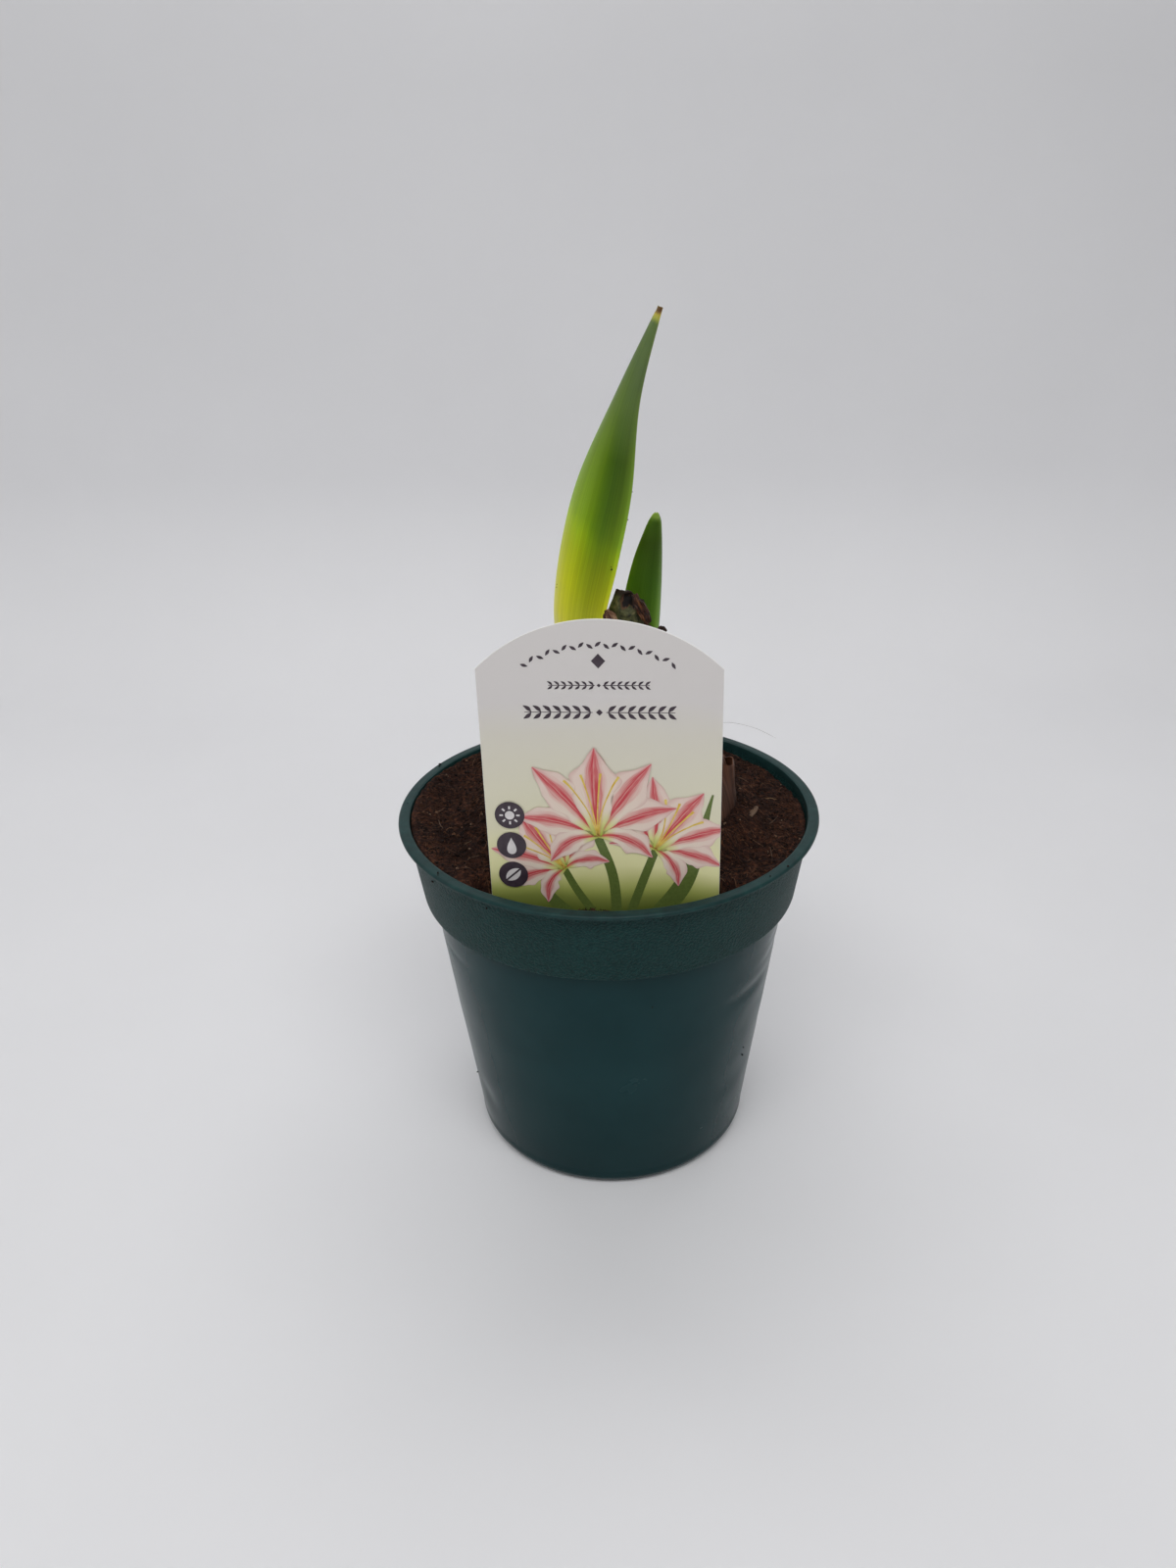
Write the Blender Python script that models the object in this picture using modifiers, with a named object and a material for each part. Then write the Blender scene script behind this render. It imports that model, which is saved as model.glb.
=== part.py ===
"""Potted amaryllis: a forced bulb in a nursery pot, with its first leaves and a printed stick-in label.

Everything is in metres, with +Z up and the origin on the pot's axis, on the surface that the pot
stands on. The label faces -Y.
"""

import math

import bmesh
import bpy
from mathutils import Matrix, Vector, noise

# Gap left between pieces that touch, so that their meshes stay apart
GAP = 0.0003
MERGE = 0.00001

# Nursery pot
POT_HEIGHT = 0.1324
POT_STEPS = 60
RIM_RADIUS = 0.075
RIM_INNER_RADIUS = 0.0709
RIM_LIP = 0.0017
WALL = 0.0010
COLLAR_TOP_RADIUS = 0.0720
COLLAR_BOTTOM_RADIUS = 0.0681
COLLAR_DEPTH = 0.0288
STEP_DROP = 0.0014
WALL_TOP_RADIUS = 0.0646
BASE_RADIUS = 0.0523
BASE_CORNER = 0.0050
FOOT_WIDTH = 0.0020
FLOOR_UNDERSIDE = 0.0020
FLOOR_TOP = 0.0035
DRAIN_RADIUS = 0.0035
DRAIN_RING_RADIUS = 0.0360
DRAIN_COUNT = 8

# Peat, heaped up against the bulb and most of all in front of it, on the right
SOIL_STEPS = 72
SOIL_RINGS = 11
SOIL_INNER = 0.0380
SOIL_EDGE_INSET = 0.0006
SOIL_EDGE_DROP = 0.0012
SOIL_LEVEL = POT_HEIGHT - 0.0022
SOIL_RELIEF = 0.0008
CLOD_SIZE = 1 / 75
CRUMB_SIZE = 1 / 210
SOIL_HEAP = 0.0030
SOIL_HEAP_FROM = 0.0430
SOIL_HEAP_WIDTH = 0.0140
FRONT_HEAP = 0.0042
FRONT_HEAP_SIDE = math.radians(-38)
WALL_DIP = 0.0022
WALL_DIP_FROM = 0.0600
WALL_DIP_WIDTH = 0.0100
WALL_DIP_SIDE = math.radians(22)
LABEL_TROUGH = 0.0092
LABEL_TROUGH_WIDTH = 0.0070
LABEL_TROUGH_REACH = 0.0400

# Bulb
BULB_CENTRE = Vector((0.0018, -0.0010, 0.0))
BULB_STEPS = 60
BULB_RINGS = 20
BULB_BOTTOM = 0.0800
BULB_SHOULDER = 0.1400
BASAL_PLATE_RADIUS = 0.0130
NECK_RIM = 0.1925
NECK_RADIUS_X = 0.0208
NECK_RADIUS_Y = 0.0165
NECK_SHIFT = -0.0014
NECK_WALL = 0.0016
NECK_CUP_DEPTH = 0.0060
NECK_RING_OUTER = 0.0148
NECK_RING_INNER = 0.0128
NECK_RING_HEIGHT = 0.0030

# The two outer tunics end at ragged edges this high, where the next one below shows
TUNIC_EDGES = (0.1520, 0.1740)
TUNIC_RAG = 0.0034
TUNIC_RAG_REACH = 0.0110
TUNIC_STEP = 0.0006
TUNIC_STEP_HEIGHT = 0.0008
TUNIC_RELIEF = 0.0005
RIPPLES_ROUND = 5
RIPPLE_LENGTH = 1 / 18

# Roots under the basal plate
ROOT_COUNT = 7
ROOT_RADIUS = 0.0020
ROOT_TIP_RADIUS = 0.0010
ROOT_REACH = 0.0400
ROOT_FOOT = 0.0140
ROOT_WIGGLE = 0.0040
ROOT_POINTS = 9

# Leaves, all planted in pockets whose floor is here
LEAF_FOOT = 0.1745

# Stick-in label
LABEL_WIDTH = 0.0731
LABEL_THICKNESS = 0.0006
LABEL_TOP = 0.2201
LABEL_ARCH = 0.0153
LABEL_SHOULDER = 0.1165
LABEL_SHOULDER_RADIUS = 0.0060
LABEL_STAKE_WIDTH = 0.0240
LABEL_STAKE_FILLET = 0.0020
LABEL_POINT = 0.0140
LABEL_POINT_WIDTH = 0.0030
LABEL_FOOT = 0.0640
LABEL_CENTRE = Vector((-0.0015, -0.0545, 0.0))
LABEL_TURN = math.radians(-4.5)
LABEL_ROLL = math.radians(-0.6)

# Name, linear colour, roughness
FINISHES = {
    "pot_plastic": ((0.012, 0.060, 0.052, 1.0), 0.42),
    "peat": ((0.035, 0.018, 0.010, 1.0), 0.95),
    "tunic": ((0.150, 0.065, 0.028, 1.0), 0.70),
    "leaf_green": ((0.110, 0.230, 0.020, 1.0), 0.38),
    "young_leaf_green": ((0.045, 0.150, 0.020, 1.0), 0.38),
    "old_leaf_green": ((0.110, 0.140, 0.060, 1.0), 0.60),
    "dried_leaf": ((0.075, 0.028, 0.014, 1.0), 0.85),
    "label_film": ((0.780, 0.760, 0.740, 1.0), 0.30),
}


def clear_scene():
    for obj in list(bpy.data.objects):
        bpy.data.objects.remove(obj)


def make_collection(name):
    collection = bpy.data.collections.new(name)
    bpy.context.scene.collection.children.link(collection)
    return collection


def make_material(name):
    colour, roughness = FINISHES[name]
    material = bpy.data.materials.new(name)
    material.use_nodes = True
    shader = material.node_tree.nodes["Principled BSDF"]
    shader.inputs["Base Color"].default_value = colour
    shader.inputs["Roughness"].default_value = roughness
    shader.inputs["Metallic"].default_value = 0.0
    material.diffuse_color = colour
    return material


def add_object(name, data, collection, material=None):
    obj = bpy.data.objects.new(name, data)
    collection.objects.link(obj)
    if material:
        data.materials.append(material)
    return obj


def hide_helper(obj):
    obj.hide_render = True
    obj.display_type = "WIRE"
    return obj


def evaluated_mesh(obj):
    """The object's mesh with its modifiers applied."""
    bpy.context.view_layer.update()
    graph = bpy.context.evaluated_depsgraph_get()
    return bpy.data.meshes.new_from_object(obj.evaluated_get(graph))


def as_mesh(obj, collection):
    """The same shape as a plain mesh object, with any loose caps welded on."""
    mesh = evaluated_mesh(obj)
    bm = bmesh.new()
    bm.from_mesh(mesh)
    bmesh.ops.remove_doubles(bm, verts=bm.verts, dist=MERGE)
    bmesh.ops.recalc_face_normals(bm, faces=bm.faces)
    bm.to_mesh(mesh)
    bm.free()
    name = obj.name
    world = obj.matrix_world.copy()
    bpy.data.objects.remove(obj)
    made = add_object(name, mesh, collection)
    made.matrix_world = world
    return made


def smooth_shading(obj, degrees=35):
    obj.data.shade_smooth()
    obj.data.set_sharp_from_angle(angle=math.radians(degrees))


def cut(obj, tool, name):
    modifier = obj.modifiers.new(name, "BOOLEAN")
    modifier.operation = "DIFFERENCE"
    modifier.object = tool
    return modifier


def smooth_line(points, count):
    """count + 1 points, evenly spaced in parameter, on a Catmull-Rom curve through points."""
    knots = [Vector(p) for p in points]
    knots = [2 * knots[0] - knots[1], *knots, 2 * knots[-1] - knots[-2]]
    spans = len(knots) - 3
    line = []
    for i in range(count + 1):
        place = spans * i / count
        k = min(int(place), spans - 1)
        u = place - k
        a, b, c, d = knots[k : k + 4]
        line.append(
            0.5 * (2 * b + (c - a) * u + (2 * a - 5 * b + 4 * c - d) * u**2)
            + 0.5 * (3 * b - a - 3 * c + d) * u**3
        )
    return line


def arc(centre, radius, start, end, steps):
    """Points on a circle in the profile plane, from the start to the end angle, in degrees."""
    turn = [math.radians(start + (end - start) * i / steps) for i in range(steps + 1)]
    return [(centre[0] + radius * math.cos(a), centre[1] + radius * math.sin(a)) for a in turn]


def turned(name, profile, steps, collection, material=None):
    """A solid of revolution about +Z. The profile starts and ends on the axis."""
    mesh = bpy.data.meshes.new(name)
    edges = [(i, i + 1) for i in range(len(profile) - 1)]
    mesh.from_pydata([(r, 0.0, z) for r, z in profile], edges, [])
    obj = add_object(name, mesh, collection, material)
    screw = obj.modifiers.new("Turn", "SCREW")
    screw.axis = "Z"
    screw.steps = steps
    screw.render_steps = steps
    screw.use_merge_vertices = True
    screw.merge_threshold = MERGE
    return obj


def inner_wall():
    """The pot's inside from the floor's edge up to the rim, as (radius, height)."""
    step_top = POT_HEIGHT - COLLAR_DEPTH + 0.0010
    step_bottom = step_top - STEP_DROP - 0.0012
    return [
        (BASE_RADIUS - WALL - 0.0016, FLOOR_TOP),
        (BASE_RADIUS - WALL, FLOOR_TOP + 0.0020),
        (WALL_TOP_RADIUS - WALL, step_bottom),
        (COLLAR_BOTTOM_RADIUS - WALL, step_top),
        (COLLAR_TOP_RADIUS - WALL - 0.0001, POT_HEIGHT - RIM_LIP - WALL),
        (RIM_INNER_RADIUS, POT_HEIGHT - 0.0009),
    ]


def pot_profile():
    """Floor centre, up the inside, over the rim, down the outside and back under the floor."""
    collar_foot = POT_HEIGHT - COLLAR_DEPTH
    foot_outer = BASE_RADIUS - BASE_CORNER
    foot_inner = foot_outer - FOOT_WIDTH
    rim_edge = (RIM_RADIUS - 0.0009, POT_HEIGHT - 0.0012)
    return [
        (0.0, FLOOR_TOP),
        *inner_wall(),
        (RIM_INNER_RADIUS + 0.0008, POT_HEIGHT),
        (RIM_RADIUS - 0.0014, POT_HEIGHT - 0.0002),
        *arc(rim_edge, 0.0009, 70, 0, 3),
        (RIM_RADIUS, POT_HEIGHT - RIM_LIP),
        (COLLAR_TOP_RADIUS + 0.0003, POT_HEIGHT - RIM_LIP - 0.0001),
        (COLLAR_TOP_RADIUS, POT_HEIGHT - RIM_LIP - 0.0006),
        (COLLAR_BOTTOM_RADIUS + 0.0001, collar_foot + 0.0010),
        (COLLAR_BOTTOM_RADIUS - 0.0005, collar_foot),
        (WALL_TOP_RADIUS + 0.0004, collar_foot - STEP_DROP),
        (WALL_TOP_RADIUS, collar_foot - STEP_DROP - 0.0006),
        (BASE_RADIUS, BASE_CORNER + 0.0012),
        *arc((BASE_RADIUS - BASE_CORNER, BASE_CORNER), BASE_CORNER, 0, -90, 6),
        (foot_inner, 0.0),
        (foot_inner - 0.0006, FLOOR_UNDERSIDE),
        (0.0, FLOOR_UNDERSIDE),
    ]


def build_pot(parts, tools):
    material = make_material("pot_plastic")
    pot = turned("pot", pot_profile(), POT_STEPS, parts, material)
    smooth_shading(pot)
    drains = [(0.0, 0.0)]
    for i in range(DRAIN_COUNT):
        angle = 2 * math.pi * (i + 0.5) / DRAIN_COUNT
        drains.append((DRAIN_RING_RADIUS * math.cos(angle), DRAIN_RING_RADIUS * math.sin(angle)))
    for i, (x, y) in enumerate(drains):
        bm = bmesh.new()
        bmesh.ops.create_cone(
            bm,
            cap_ends=True,
            segments=12,
            radius1=DRAIN_RADIUS,
            radius2=DRAIN_RADIUS,
            depth=3 * FLOOR_TOP,
        )
        mesh = bpy.data.meshes.new(f"drain_cutter_{i}")
        bm.to_mesh(mesh)
        bm.free()
        tool = hide_helper(add_object(f"drain_cutter_{i}", mesh, tools))
        tool.location = (x, y, FLOOR_TOP)
        cut(pot, tool, f"Drain {i}")
    return pot


def bulb_side():
    """The bulb's outer side from the neck's rim down to the basal plate, as (radius, height)."""
    outline = [
        (NECK_RADIUS_X, 0.0, NECK_RIM),
        (0.0222, 0.0, 0.1850),
        (0.0280, 0.0, 0.1720),
        (0.0386, 0.0, 0.1520),
        (0.0430, 0.0, BULB_SHOULDER),
        (0.0432, 0.0, 0.1280),
        (0.0400, 0.0, 0.1120),
        (0.0310, 0.0, 0.0950),
        (BASAL_PLATE_RADIUS, 0.0, BULB_BOTTOM),
    ]
    return [(p.x, p.z) for p in smooth_line(outline, BULB_RINGS)]


def bulb_radius(side, height):
    """The bulb's radius at a height, between the points of its side."""
    for (r0, z0), (r1, z1) in zip(side, side[1:]):
        if z1 <= height <= z0:
            return r0 + (r1 - r0) * (z0 - height) / (z0 - z1)
    return side[0][0]


def bulb_profile(side):
    """Neck centre, over the inner scales, out over the rim, down the bulb to the basal plate."""
    points = list(side)
    for edge in TUNIC_EDGES:
        for height in (edge + TUNIC_STEP_HEIGHT / 2, edge - TUNIC_STEP_HEIGHT / 2):
            points.append((bulb_radius(side, height), height))
    points.sort(key=lambda p: -p[1])
    inside = NECK_RADIUS_X - NECK_WALL
    cup = NECK_RIM - NECK_CUP_DEPTH
    return [
        (0.0, cup),
        (NECK_RING_INNER, cup),
        (NECK_RING_INNER + 0.0003, cup + NECK_RING_HEIGHT),
        (NECK_RING_OUTER - 0.0003, cup + NECK_RING_HEIGHT),
        (NECK_RING_OUTER, cup),
        (inside - 0.0004, cup),
        (inside, NECK_RIM - 0.0004),
        *points,
        (0.0, BULB_BOTTOM),
    ]


def rim_rag(angle):
    """How far the dried neck stands above or below its mean height."""
    front_peak = 0.0050 * max(0.0, math.cos(angle - 0.10)) ** 16
    back_peak = 0.0042 * max(0.0, math.cos(angle - 2.2)) ** 10
    side_peak = 0.0030 * max(0.0, math.cos(angle - 3.5)) ** 12
    ragged = 0.0008 * math.sin(5 * angle + 1.0) + 0.0005 * math.sin(13 * angle)
    return front_peak + back_peak + side_peak + ragged


def tunic_shift(angle, height):
    """How far a point on the bulb's side moves up or down to make the tunics' edges ragged."""
    shift = 0.0
    for i, edge in enumerate(TUNIC_EDGES):
        near = max(0.0, 1 - abs(height - edge) / TUNIC_RAG_REACH)
        wave = math.sin((2 + i) * angle + 0.7 + i) + 0.6 * math.sin((5 + 2 * i) * angle + i)
        shift += TUNIC_RAG * near * wave
    return shift


def shape_bulb(mesh, side, grow):
    """Ovals the neck, raises the tunics and their veins, and rags the rim of the turned form."""
    for vertex in mesh.vertices:
        co = vertex.co
        radius = math.hypot(co.x, co.y)
        if radius < MERGE:
            continue
        angle = math.atan2(co.y, co.x)
        height = co.z
        at_rim = height > NECK_RIM - 0.0010
        new_radius = radius
        if not at_rim and abs(radius - bulb_radius(side, height)) < MERGE:
            layers = sum(height < edge for edge in TUNIC_EDGES)
            co.z += tunic_shift(angle, height)
            round_it = Vector((math.cos(angle), math.sin(angle), 0.0)) * RIPPLES_ROUND
            ripple = noise.noise(round_it + Vector((0.0, 0.0, co.z / RIPPLE_LENGTH)))
            new_radius = bulb_radius(side, co.z) + TUNIC_STEP * layers + TUNIC_RELIEF * ripple
        neck = max(0.0, min(1.0, (height - BULB_SHOULDER) / (NECK_RIM - BULB_SHOULDER)))
        oval = 1 - (1 - NECK_RADIUS_Y / NECK_RADIUS_X) * neck * abs(math.sin(angle)) ** 1.5
        new_radius = new_radius * oval + grow
        co.x = new_radius * math.cos(angle) + NECK_SHIFT * neck
        co.y = new_radius * math.sin(angle)
        if at_rim:
            co.z += rim_rag(angle)
        if height < BULB_BOTTOM + MERGE:
            co.z -= grow


def bulb_body(name, collection, grow):
    side = bulb_side()
    form = turned(name, bulb_profile(side), BULB_STEPS, collection)
    mesh = evaluated_mesh(form)
    bpy.data.objects.remove(form)
    shape_bulb(mesh, side, grow)
    body = add_object(name, mesh, collection)
    body.location = BULB_CENTRE
    return body


def root(index, name, collection, grow):
    """A fleshy root that leaves the basal plate, bends out and ends above the pot's floor."""
    angle = 2 * math.pi * index / ROOT_COUNT + 0.35 * math.sin(3.1 * index)
    away = Vector((math.cos(angle), math.sin(angle), 0.0))
    across = Vector((-away.y, away.x, 0.0))
    reach = ROOT_REACH * (0.80 + 0.20 * math.cos(2.3 * index))
    foot = ROOT_FOOT + 0.012 * abs(math.sin(1.7 * index))
    path = smooth_line(
        [
            BULB_CENTRE + away * 0.0085 + Vector((0.0, 0.0, BULB_BOTTOM + 0.0040)),
            BULB_CENTRE + away * 0.0110 + Vector((0.0, 0.0, BULB_BOTTOM - 0.0060)),
            away * reach * 0.60 + across * ROOT_WIGGLE + Vector((0.0, 0.0, 0.0520)),
            away * reach * 0.95 - across * ROOT_WIGGLE + Vector((0.0, 0.0, 0.0330)),
            away * reach + across * ROOT_WIGGLE + Vector((0.0, 0.0, foot)),
        ],
        ROOT_POINTS,
    )
    path[-1] = path[-1] + (path[-1] - path[-2]).normalized() * grow
    curve = bpy.data.curves.new(name, "CURVE")
    curve.dimensions = "3D"
    curve.bevel_depth = 1.0
    curve.bevel_resolution = 1
    curve.use_fill_caps = True
    spline = curve.splines.new("POLY")
    spline.points.add(len(path) - 1)
    for i, place in enumerate(path):
        share = i / (len(path) - 1)
        spline.points[i].co = (*place, 1.0)
        spline.points[i].radius = ROOT_RADIUS + (ROOT_TIP_RADIUS - ROOT_RADIUS) * share + grow
    return as_mesh(add_object(name, curve, collection), collection)


def blade(name, collection, spine, widths, cup, back, thickness, rows, columns=6, grow=0.0, **more):
    """A channelled leaf: a grid laid along a spine, cupped away from its back, then given thickness.

    spine holds points in metres, widths the full width at even steps along it, cup how far the
    margins stand behind the midrib, and back the way the convex side faces, in degrees in plan.
    """
    edge = more.get("edge", 0.45)
    ripple = more.get("ripple", 0.0)
    line = smooth_line(spine, rows)
    line[0] = line[0] - Vector((0.0, 0.0, grow))
    spread = [p.x for p in smooth_line([(w, 0.0, 0.0) for w in widths], rows)]
    deep = [p.x for p in smooth_line([(c, 0.0, 0.0) for c in cup], rows)]
    facing = Vector((math.cos(math.radians(back)), math.sin(math.radians(back)), 0.0))
    bm = bmesh.new()
    bmesh.ops.create_grid(bm, x_segments=columns, y_segments=rows, size=1.0)
    mesh = bpy.data.meshes.new(name)
    for vertex in bm.verts:
        s = vertex.co.x
        i = round((vertex.co.y + 1) / 2 * rows)
        ahead = line[min(i + 1, rows)] - line[max(i - 1, 0)]
        ahead.normalize()
        side = ahead.cross(facing).normalized()
        out = side.cross(ahead).normalized()
        half = spread[i] / 2 + grow
        wave = ripple * math.sin(2.6 * i + 3.0 * s) * abs(s)
        vertex.co = line[i] + side * (s * half) - out * (deep[i] * s * s + wave)
    bmesh.ops.recalc_face_normals(bm, faces=bm.faces)
    bm.to_mesh(mesh)
    bm.free()
    leaf = add_object(name, mesh, collection)
    group = leaf.vertex_groups.new(name="flesh")
    for vertex in mesh.vertices:
        row, column = divmod(vertex.index, columns + 1)
        s = 2 * column / columns - 1
        group.add([vertex.index], (1 - s**2) * min(1.0, 4 * (1 - row / rows)), "REPLACE")
    full = thickness + 2 * grow
    shell = leaf.modifiers.new("Flesh", "SOLIDIFY")
    shell.thickness = full
    shell.offset = 0.0
    shell.vertex_group = "flesh"
    shell.thickness_vertex_group = (thickness * edge + 2 * grow) / full
    return leaf


# Each leaf's spine in metres, widths and cups along it, the way its back faces, and its flesh
BLADES = {
    "large_leaf": dict(
        spine=[
            (-0.0103, -0.0060, LEAF_FOOT),
            (-0.0102, -0.0062, 0.1900),
            (-0.0114, -0.0065, 0.2050),
            (-0.0074, -0.0068, 0.2260),
            (-0.0014, -0.0062, 0.2480),
            (0.0069, -0.0050, 0.2740),
            (0.0174, -0.0036, 0.2990),
        ],
        widths=[0.0165, 0.0195, 0.0202, 0.0223, 0.0201, 0.0088, 0.0012],
        cup=[0.0038, 0.0042, 0.0050, 0.0050, 0.0040, 0.0022, 0.0004],
        back=-125.0,
        thickness=0.0026,
        rows=24,
    ),
    "young_leaf": dict(
        spine=[
            (0.0118, 0.0018, LEAF_FOOT),
            (0.0132, 0.0022, 0.1880),
            (0.0140, 0.0036, 0.2010),
            (0.0157, 0.0040, 0.2190),
            (0.0173, 0.0042, 0.2358),
        ],
        widths=[0.0110, 0.0124, 0.0145, 0.0108, 0.0014],
        cup=[0.0030, 0.0035, 0.0044, 0.0036, 0.0006],
        back=-62.0,
        thickness=0.0022,
        rows=16,
    ),
    "old_leaf_base": dict(
        spine=[
            (0.0076, -0.0060, LEAF_FOOT),
            (0.0076, -0.0062, 0.1900),
            (0.0078, -0.0060, 0.2035),
            (0.0084, -0.0050, 0.2125),
        ],
        widths=[0.0120, 0.0140, 0.0134, 0.0084],
        cup=[0.0028, 0.0032, 0.0030, 0.0018],
        back=-80.0,
        thickness=0.0028,
        rows=10,
        edge=0.50,
    ),
    "dry_scale": dict(
        spine=[
            (0.0030, -0.0086, 0.1830),
            (0.0028, -0.0086, 0.1950),
            (0.0008, -0.0074, 0.2047),
        ],
        widths=[0.0070, 0.0072, 0.0026],
        cup=[0.0010, 0.0012, 0.0004],
        back=-110.0,
        thickness=0.0008,
        rows=8,
        columns=4,
        edge=0.9,
        ripple=0.0003,
    ),
}
LEAF_FINISHES = {
    "large_leaf": "leaf_green",
    "young_leaf": "young_leaf_green",
    "old_leaf_base": "old_leaf_green",
    "dry_scale": "dried_leaf",
}

# The withered upper end of the old leaf, folded over and hanging down its front right side
WITHERED_END = dict(
    spine=[
        (0.0086, -0.0056, 0.2112),
        (0.0106, -0.0074, 0.2122),
        (0.0134, -0.0076, 0.2070),
        (0.0148, -0.0068, 0.2005),
    ],
    widths=[0.0042, 0.0044, 0.0036, 0.0014],
    cup=[0.0006, 0.0008, 0.0006, 0.0002],
    back=-60.0,
    thickness=0.0009,
    rows=9,
    columns=4,
    edge=0.9,
    ripple=0.0003,
)


def build_bulb(parts, tools):
    """The bulb with its roots, and a pocket in the neck for each leaf and for the dry scale."""
    bulb = bulb_body("bulb", parts, 0.0)
    bulb.data.materials.append(make_material("tunic"))
    roots = make_collection("roots")
    roots.hide_render = True
    for i in range(ROOT_COUNT):
        root(i, f"root_{i}", roots, 0.0)
    join = bulb.modifiers.new("Roots", "BOOLEAN")
    join.operation = "UNION"
    join.operand_type = "COLLECTION"
    join.collection = roots
    for name, shape in BLADES.items():
        pocket = hide_helper(blade(f"{name}_pocket", tools, grow=GAP, **shape))
        cut(bulb, pocket, f"{name} pocket")
    mesh = evaluated_mesh(bulb)
    bulb.modifiers.clear()
    bulb.data = mesh
    for obj in list(roots.objects):
        bpy.data.objects.remove(obj)
    bpy.data.collections.remove(roots)
    smooth_shading(bulb, 50)
    return bulb


def build_leaves(parts):
    for name, shape in BLADES.items():
        leaf = blade(name, parts, **shape)
        leaf.data.materials.append(make_material(LEAF_FINISHES[name]))
        smooth_shading(leaf, 60)


def add_withered_end(leaf, tools):
    """Joins the withered end to the old leaf, which it grew with."""
    end = hide_helper(blade("withered_end", tools, **WITHERED_END))
    join = leaf.modifiers.new("Withered end", "BOOLEAN")
    join.operation = "UNION"
    join.object = end


def label_outline(grow):
    """Arched top, straight sides, rounded shoulders and a pointed stake, as (across, up)."""
    half = LABEL_WIDTH / 2 + grow
    stake = LABEL_STAKE_WIDTH / 2 + grow
    arch_radius = ((LABEL_WIDTH / 2) ** 2 + LABEL_ARCH**2) / (2 * LABEL_ARCH)
    swing = math.degrees(math.asin(LABEL_WIDTH / 2 / arch_radius))
    top = arc((0.0, LABEL_TOP - arch_radius), arch_radius + grow, 90 - swing, 90 + swing, 16)
    bend = LABEL_SHOULDER_RADIUS + grow
    under = LABEL_SHOULDER - bend
    left = [
        *arc((-half + bend, LABEL_SHOULDER), bend, 180, 270, 4),
        (-stake - LABEL_STAKE_FILLET, under),
        (-stake, under - LABEL_STAKE_FILLET),
        (-stake, LABEL_FOOT + LABEL_POINT),
        (-LABEL_POINT_WIDTH / 2 - grow, LABEL_FOOT - grow),
    ]
    right = [(-x, z) for x, z in reversed(left)]
    return [*top, *left, *right]


def label_plate(name, collection, grow, material=None):
    curve = bpy.data.curves.new(name, "CURVE")
    curve.dimensions = "2D"
    curve.fill_mode = "BOTH"
    curve.extrude = LABEL_THICKNESS / 2 + grow
    outline = label_outline(grow)
    spline = curve.splines.new("POLY")
    spline.points.add(len(outline) - 1)
    for point, (x, z) in zip(spline.points, outline):
        point.co = (x, z - SOIL_LEVEL, 0.0, 1.0)
    spline.use_cyclic_u = True
    plate = add_object(name, curve, collection)
    stand = Matrix.Rotation(math.radians(90), 4, "X")
    roll = Matrix.Rotation(LABEL_ROLL, 4, "Y")
    turn = Matrix.Rotation(LABEL_TURN, 4, "Z")
    place = Matrix.Translation(LABEL_CENTRE + Vector((0, 0, SOIL_LEVEL)))
    plate.matrix_world = place @ turn @ roll @ stand
    plate = as_mesh(plate, collection)
    if material:
        plate.data.materials.append(material)
    return plate


def soil_wall():
    """The peat's side from the floor's edge up to just under its surface, as (radius, height)."""
    wall = [(r - GAP, z) for r, z in inner_wall()[:5]]
    wall[0] = (wall[0][0], FLOOR_TOP + GAP)
    wall[4] = (RIM_INNER_RADIUS - GAP, wall[4][1])
    return wall


def soil_profile():
    """Surface from the middle outwards, then down the pot's inner wall to the floor."""
    wall = soil_wall()
    outer = wall[4][0] - SOIL_EDGE_INSET
    surface = [(0.0, SOIL_LEVEL), (SOIL_INNER * 0.5, SOIL_LEVEL)]
    for i in range(SOIL_RINGS):
        radius = SOIL_INNER + (outer - SOIL_INNER) * i / (SOIL_RINGS - 1)
        surface.append((radius, SOIL_LEVEL))
    return [*surface, *reversed(wall), (0.0, FLOOR_TOP + GAP)]


def ramp(value):
    """Eases from 0 to 1 as value does, and holds at either end."""
    share = max(0.0, min(1.0, value))
    return share**2 * (3 - 2 * share)


def label_trough(x, y):
    """How far the peat is pushed down in front of the label, where it was stuck in."""
    across = x - LABEL_CENTRE.x
    ahead = LABEL_CENTRE.y + across * math.tan(LABEL_TURN) - y
    beside = ramp((LABEL_TROUGH_REACH - abs(across)) / (0.1 * LABEL_TROUGH_REACH) + 1)
    return LABEL_TROUGH * beside * ramp(1 + ahead / LABEL_TROUGH_WIDTH)


def soil_height(x, y):
    """Peat level at a place: crumbly, heaped against the bulb, with a hollow along the wall."""
    radius = math.hypot(x, y)
    angle = math.atan2(y, x)
    clods = noise.noise(Vector((x, y, 0.0)) / CLOD_SIZE)
    fine = noise.noise(Vector((x, y, 0.0)) / CRUMB_SIZE)
    from_bulb = math.hypot(x - BULB_CENTRE.x, y - BULB_CENTRE.y) - SOIL_HEAP_FROM
    near = ramp(1 - from_bulb / SOIL_HEAP_WIDTH)
    front = max(0.0, math.cos(angle - FRONT_HEAP_SIDE)) ** 2
    at_wall = max(0.0, (radius - WALL_DIP_FROM) / WALL_DIP_WIDTH)
    hollow = WALL_DIP * at_wall * max(0.0, math.cos(angle - WALL_DIP_SIDE)) ** 3
    heap = near * (SOIL_HEAP + FRONT_HEAP * front)
    crumbs = SOIL_RELIEF * (clods + 0.8 * fine)
    return SOIL_LEVEL + heap - hollow - label_trough(x, y) + crumbs


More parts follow.
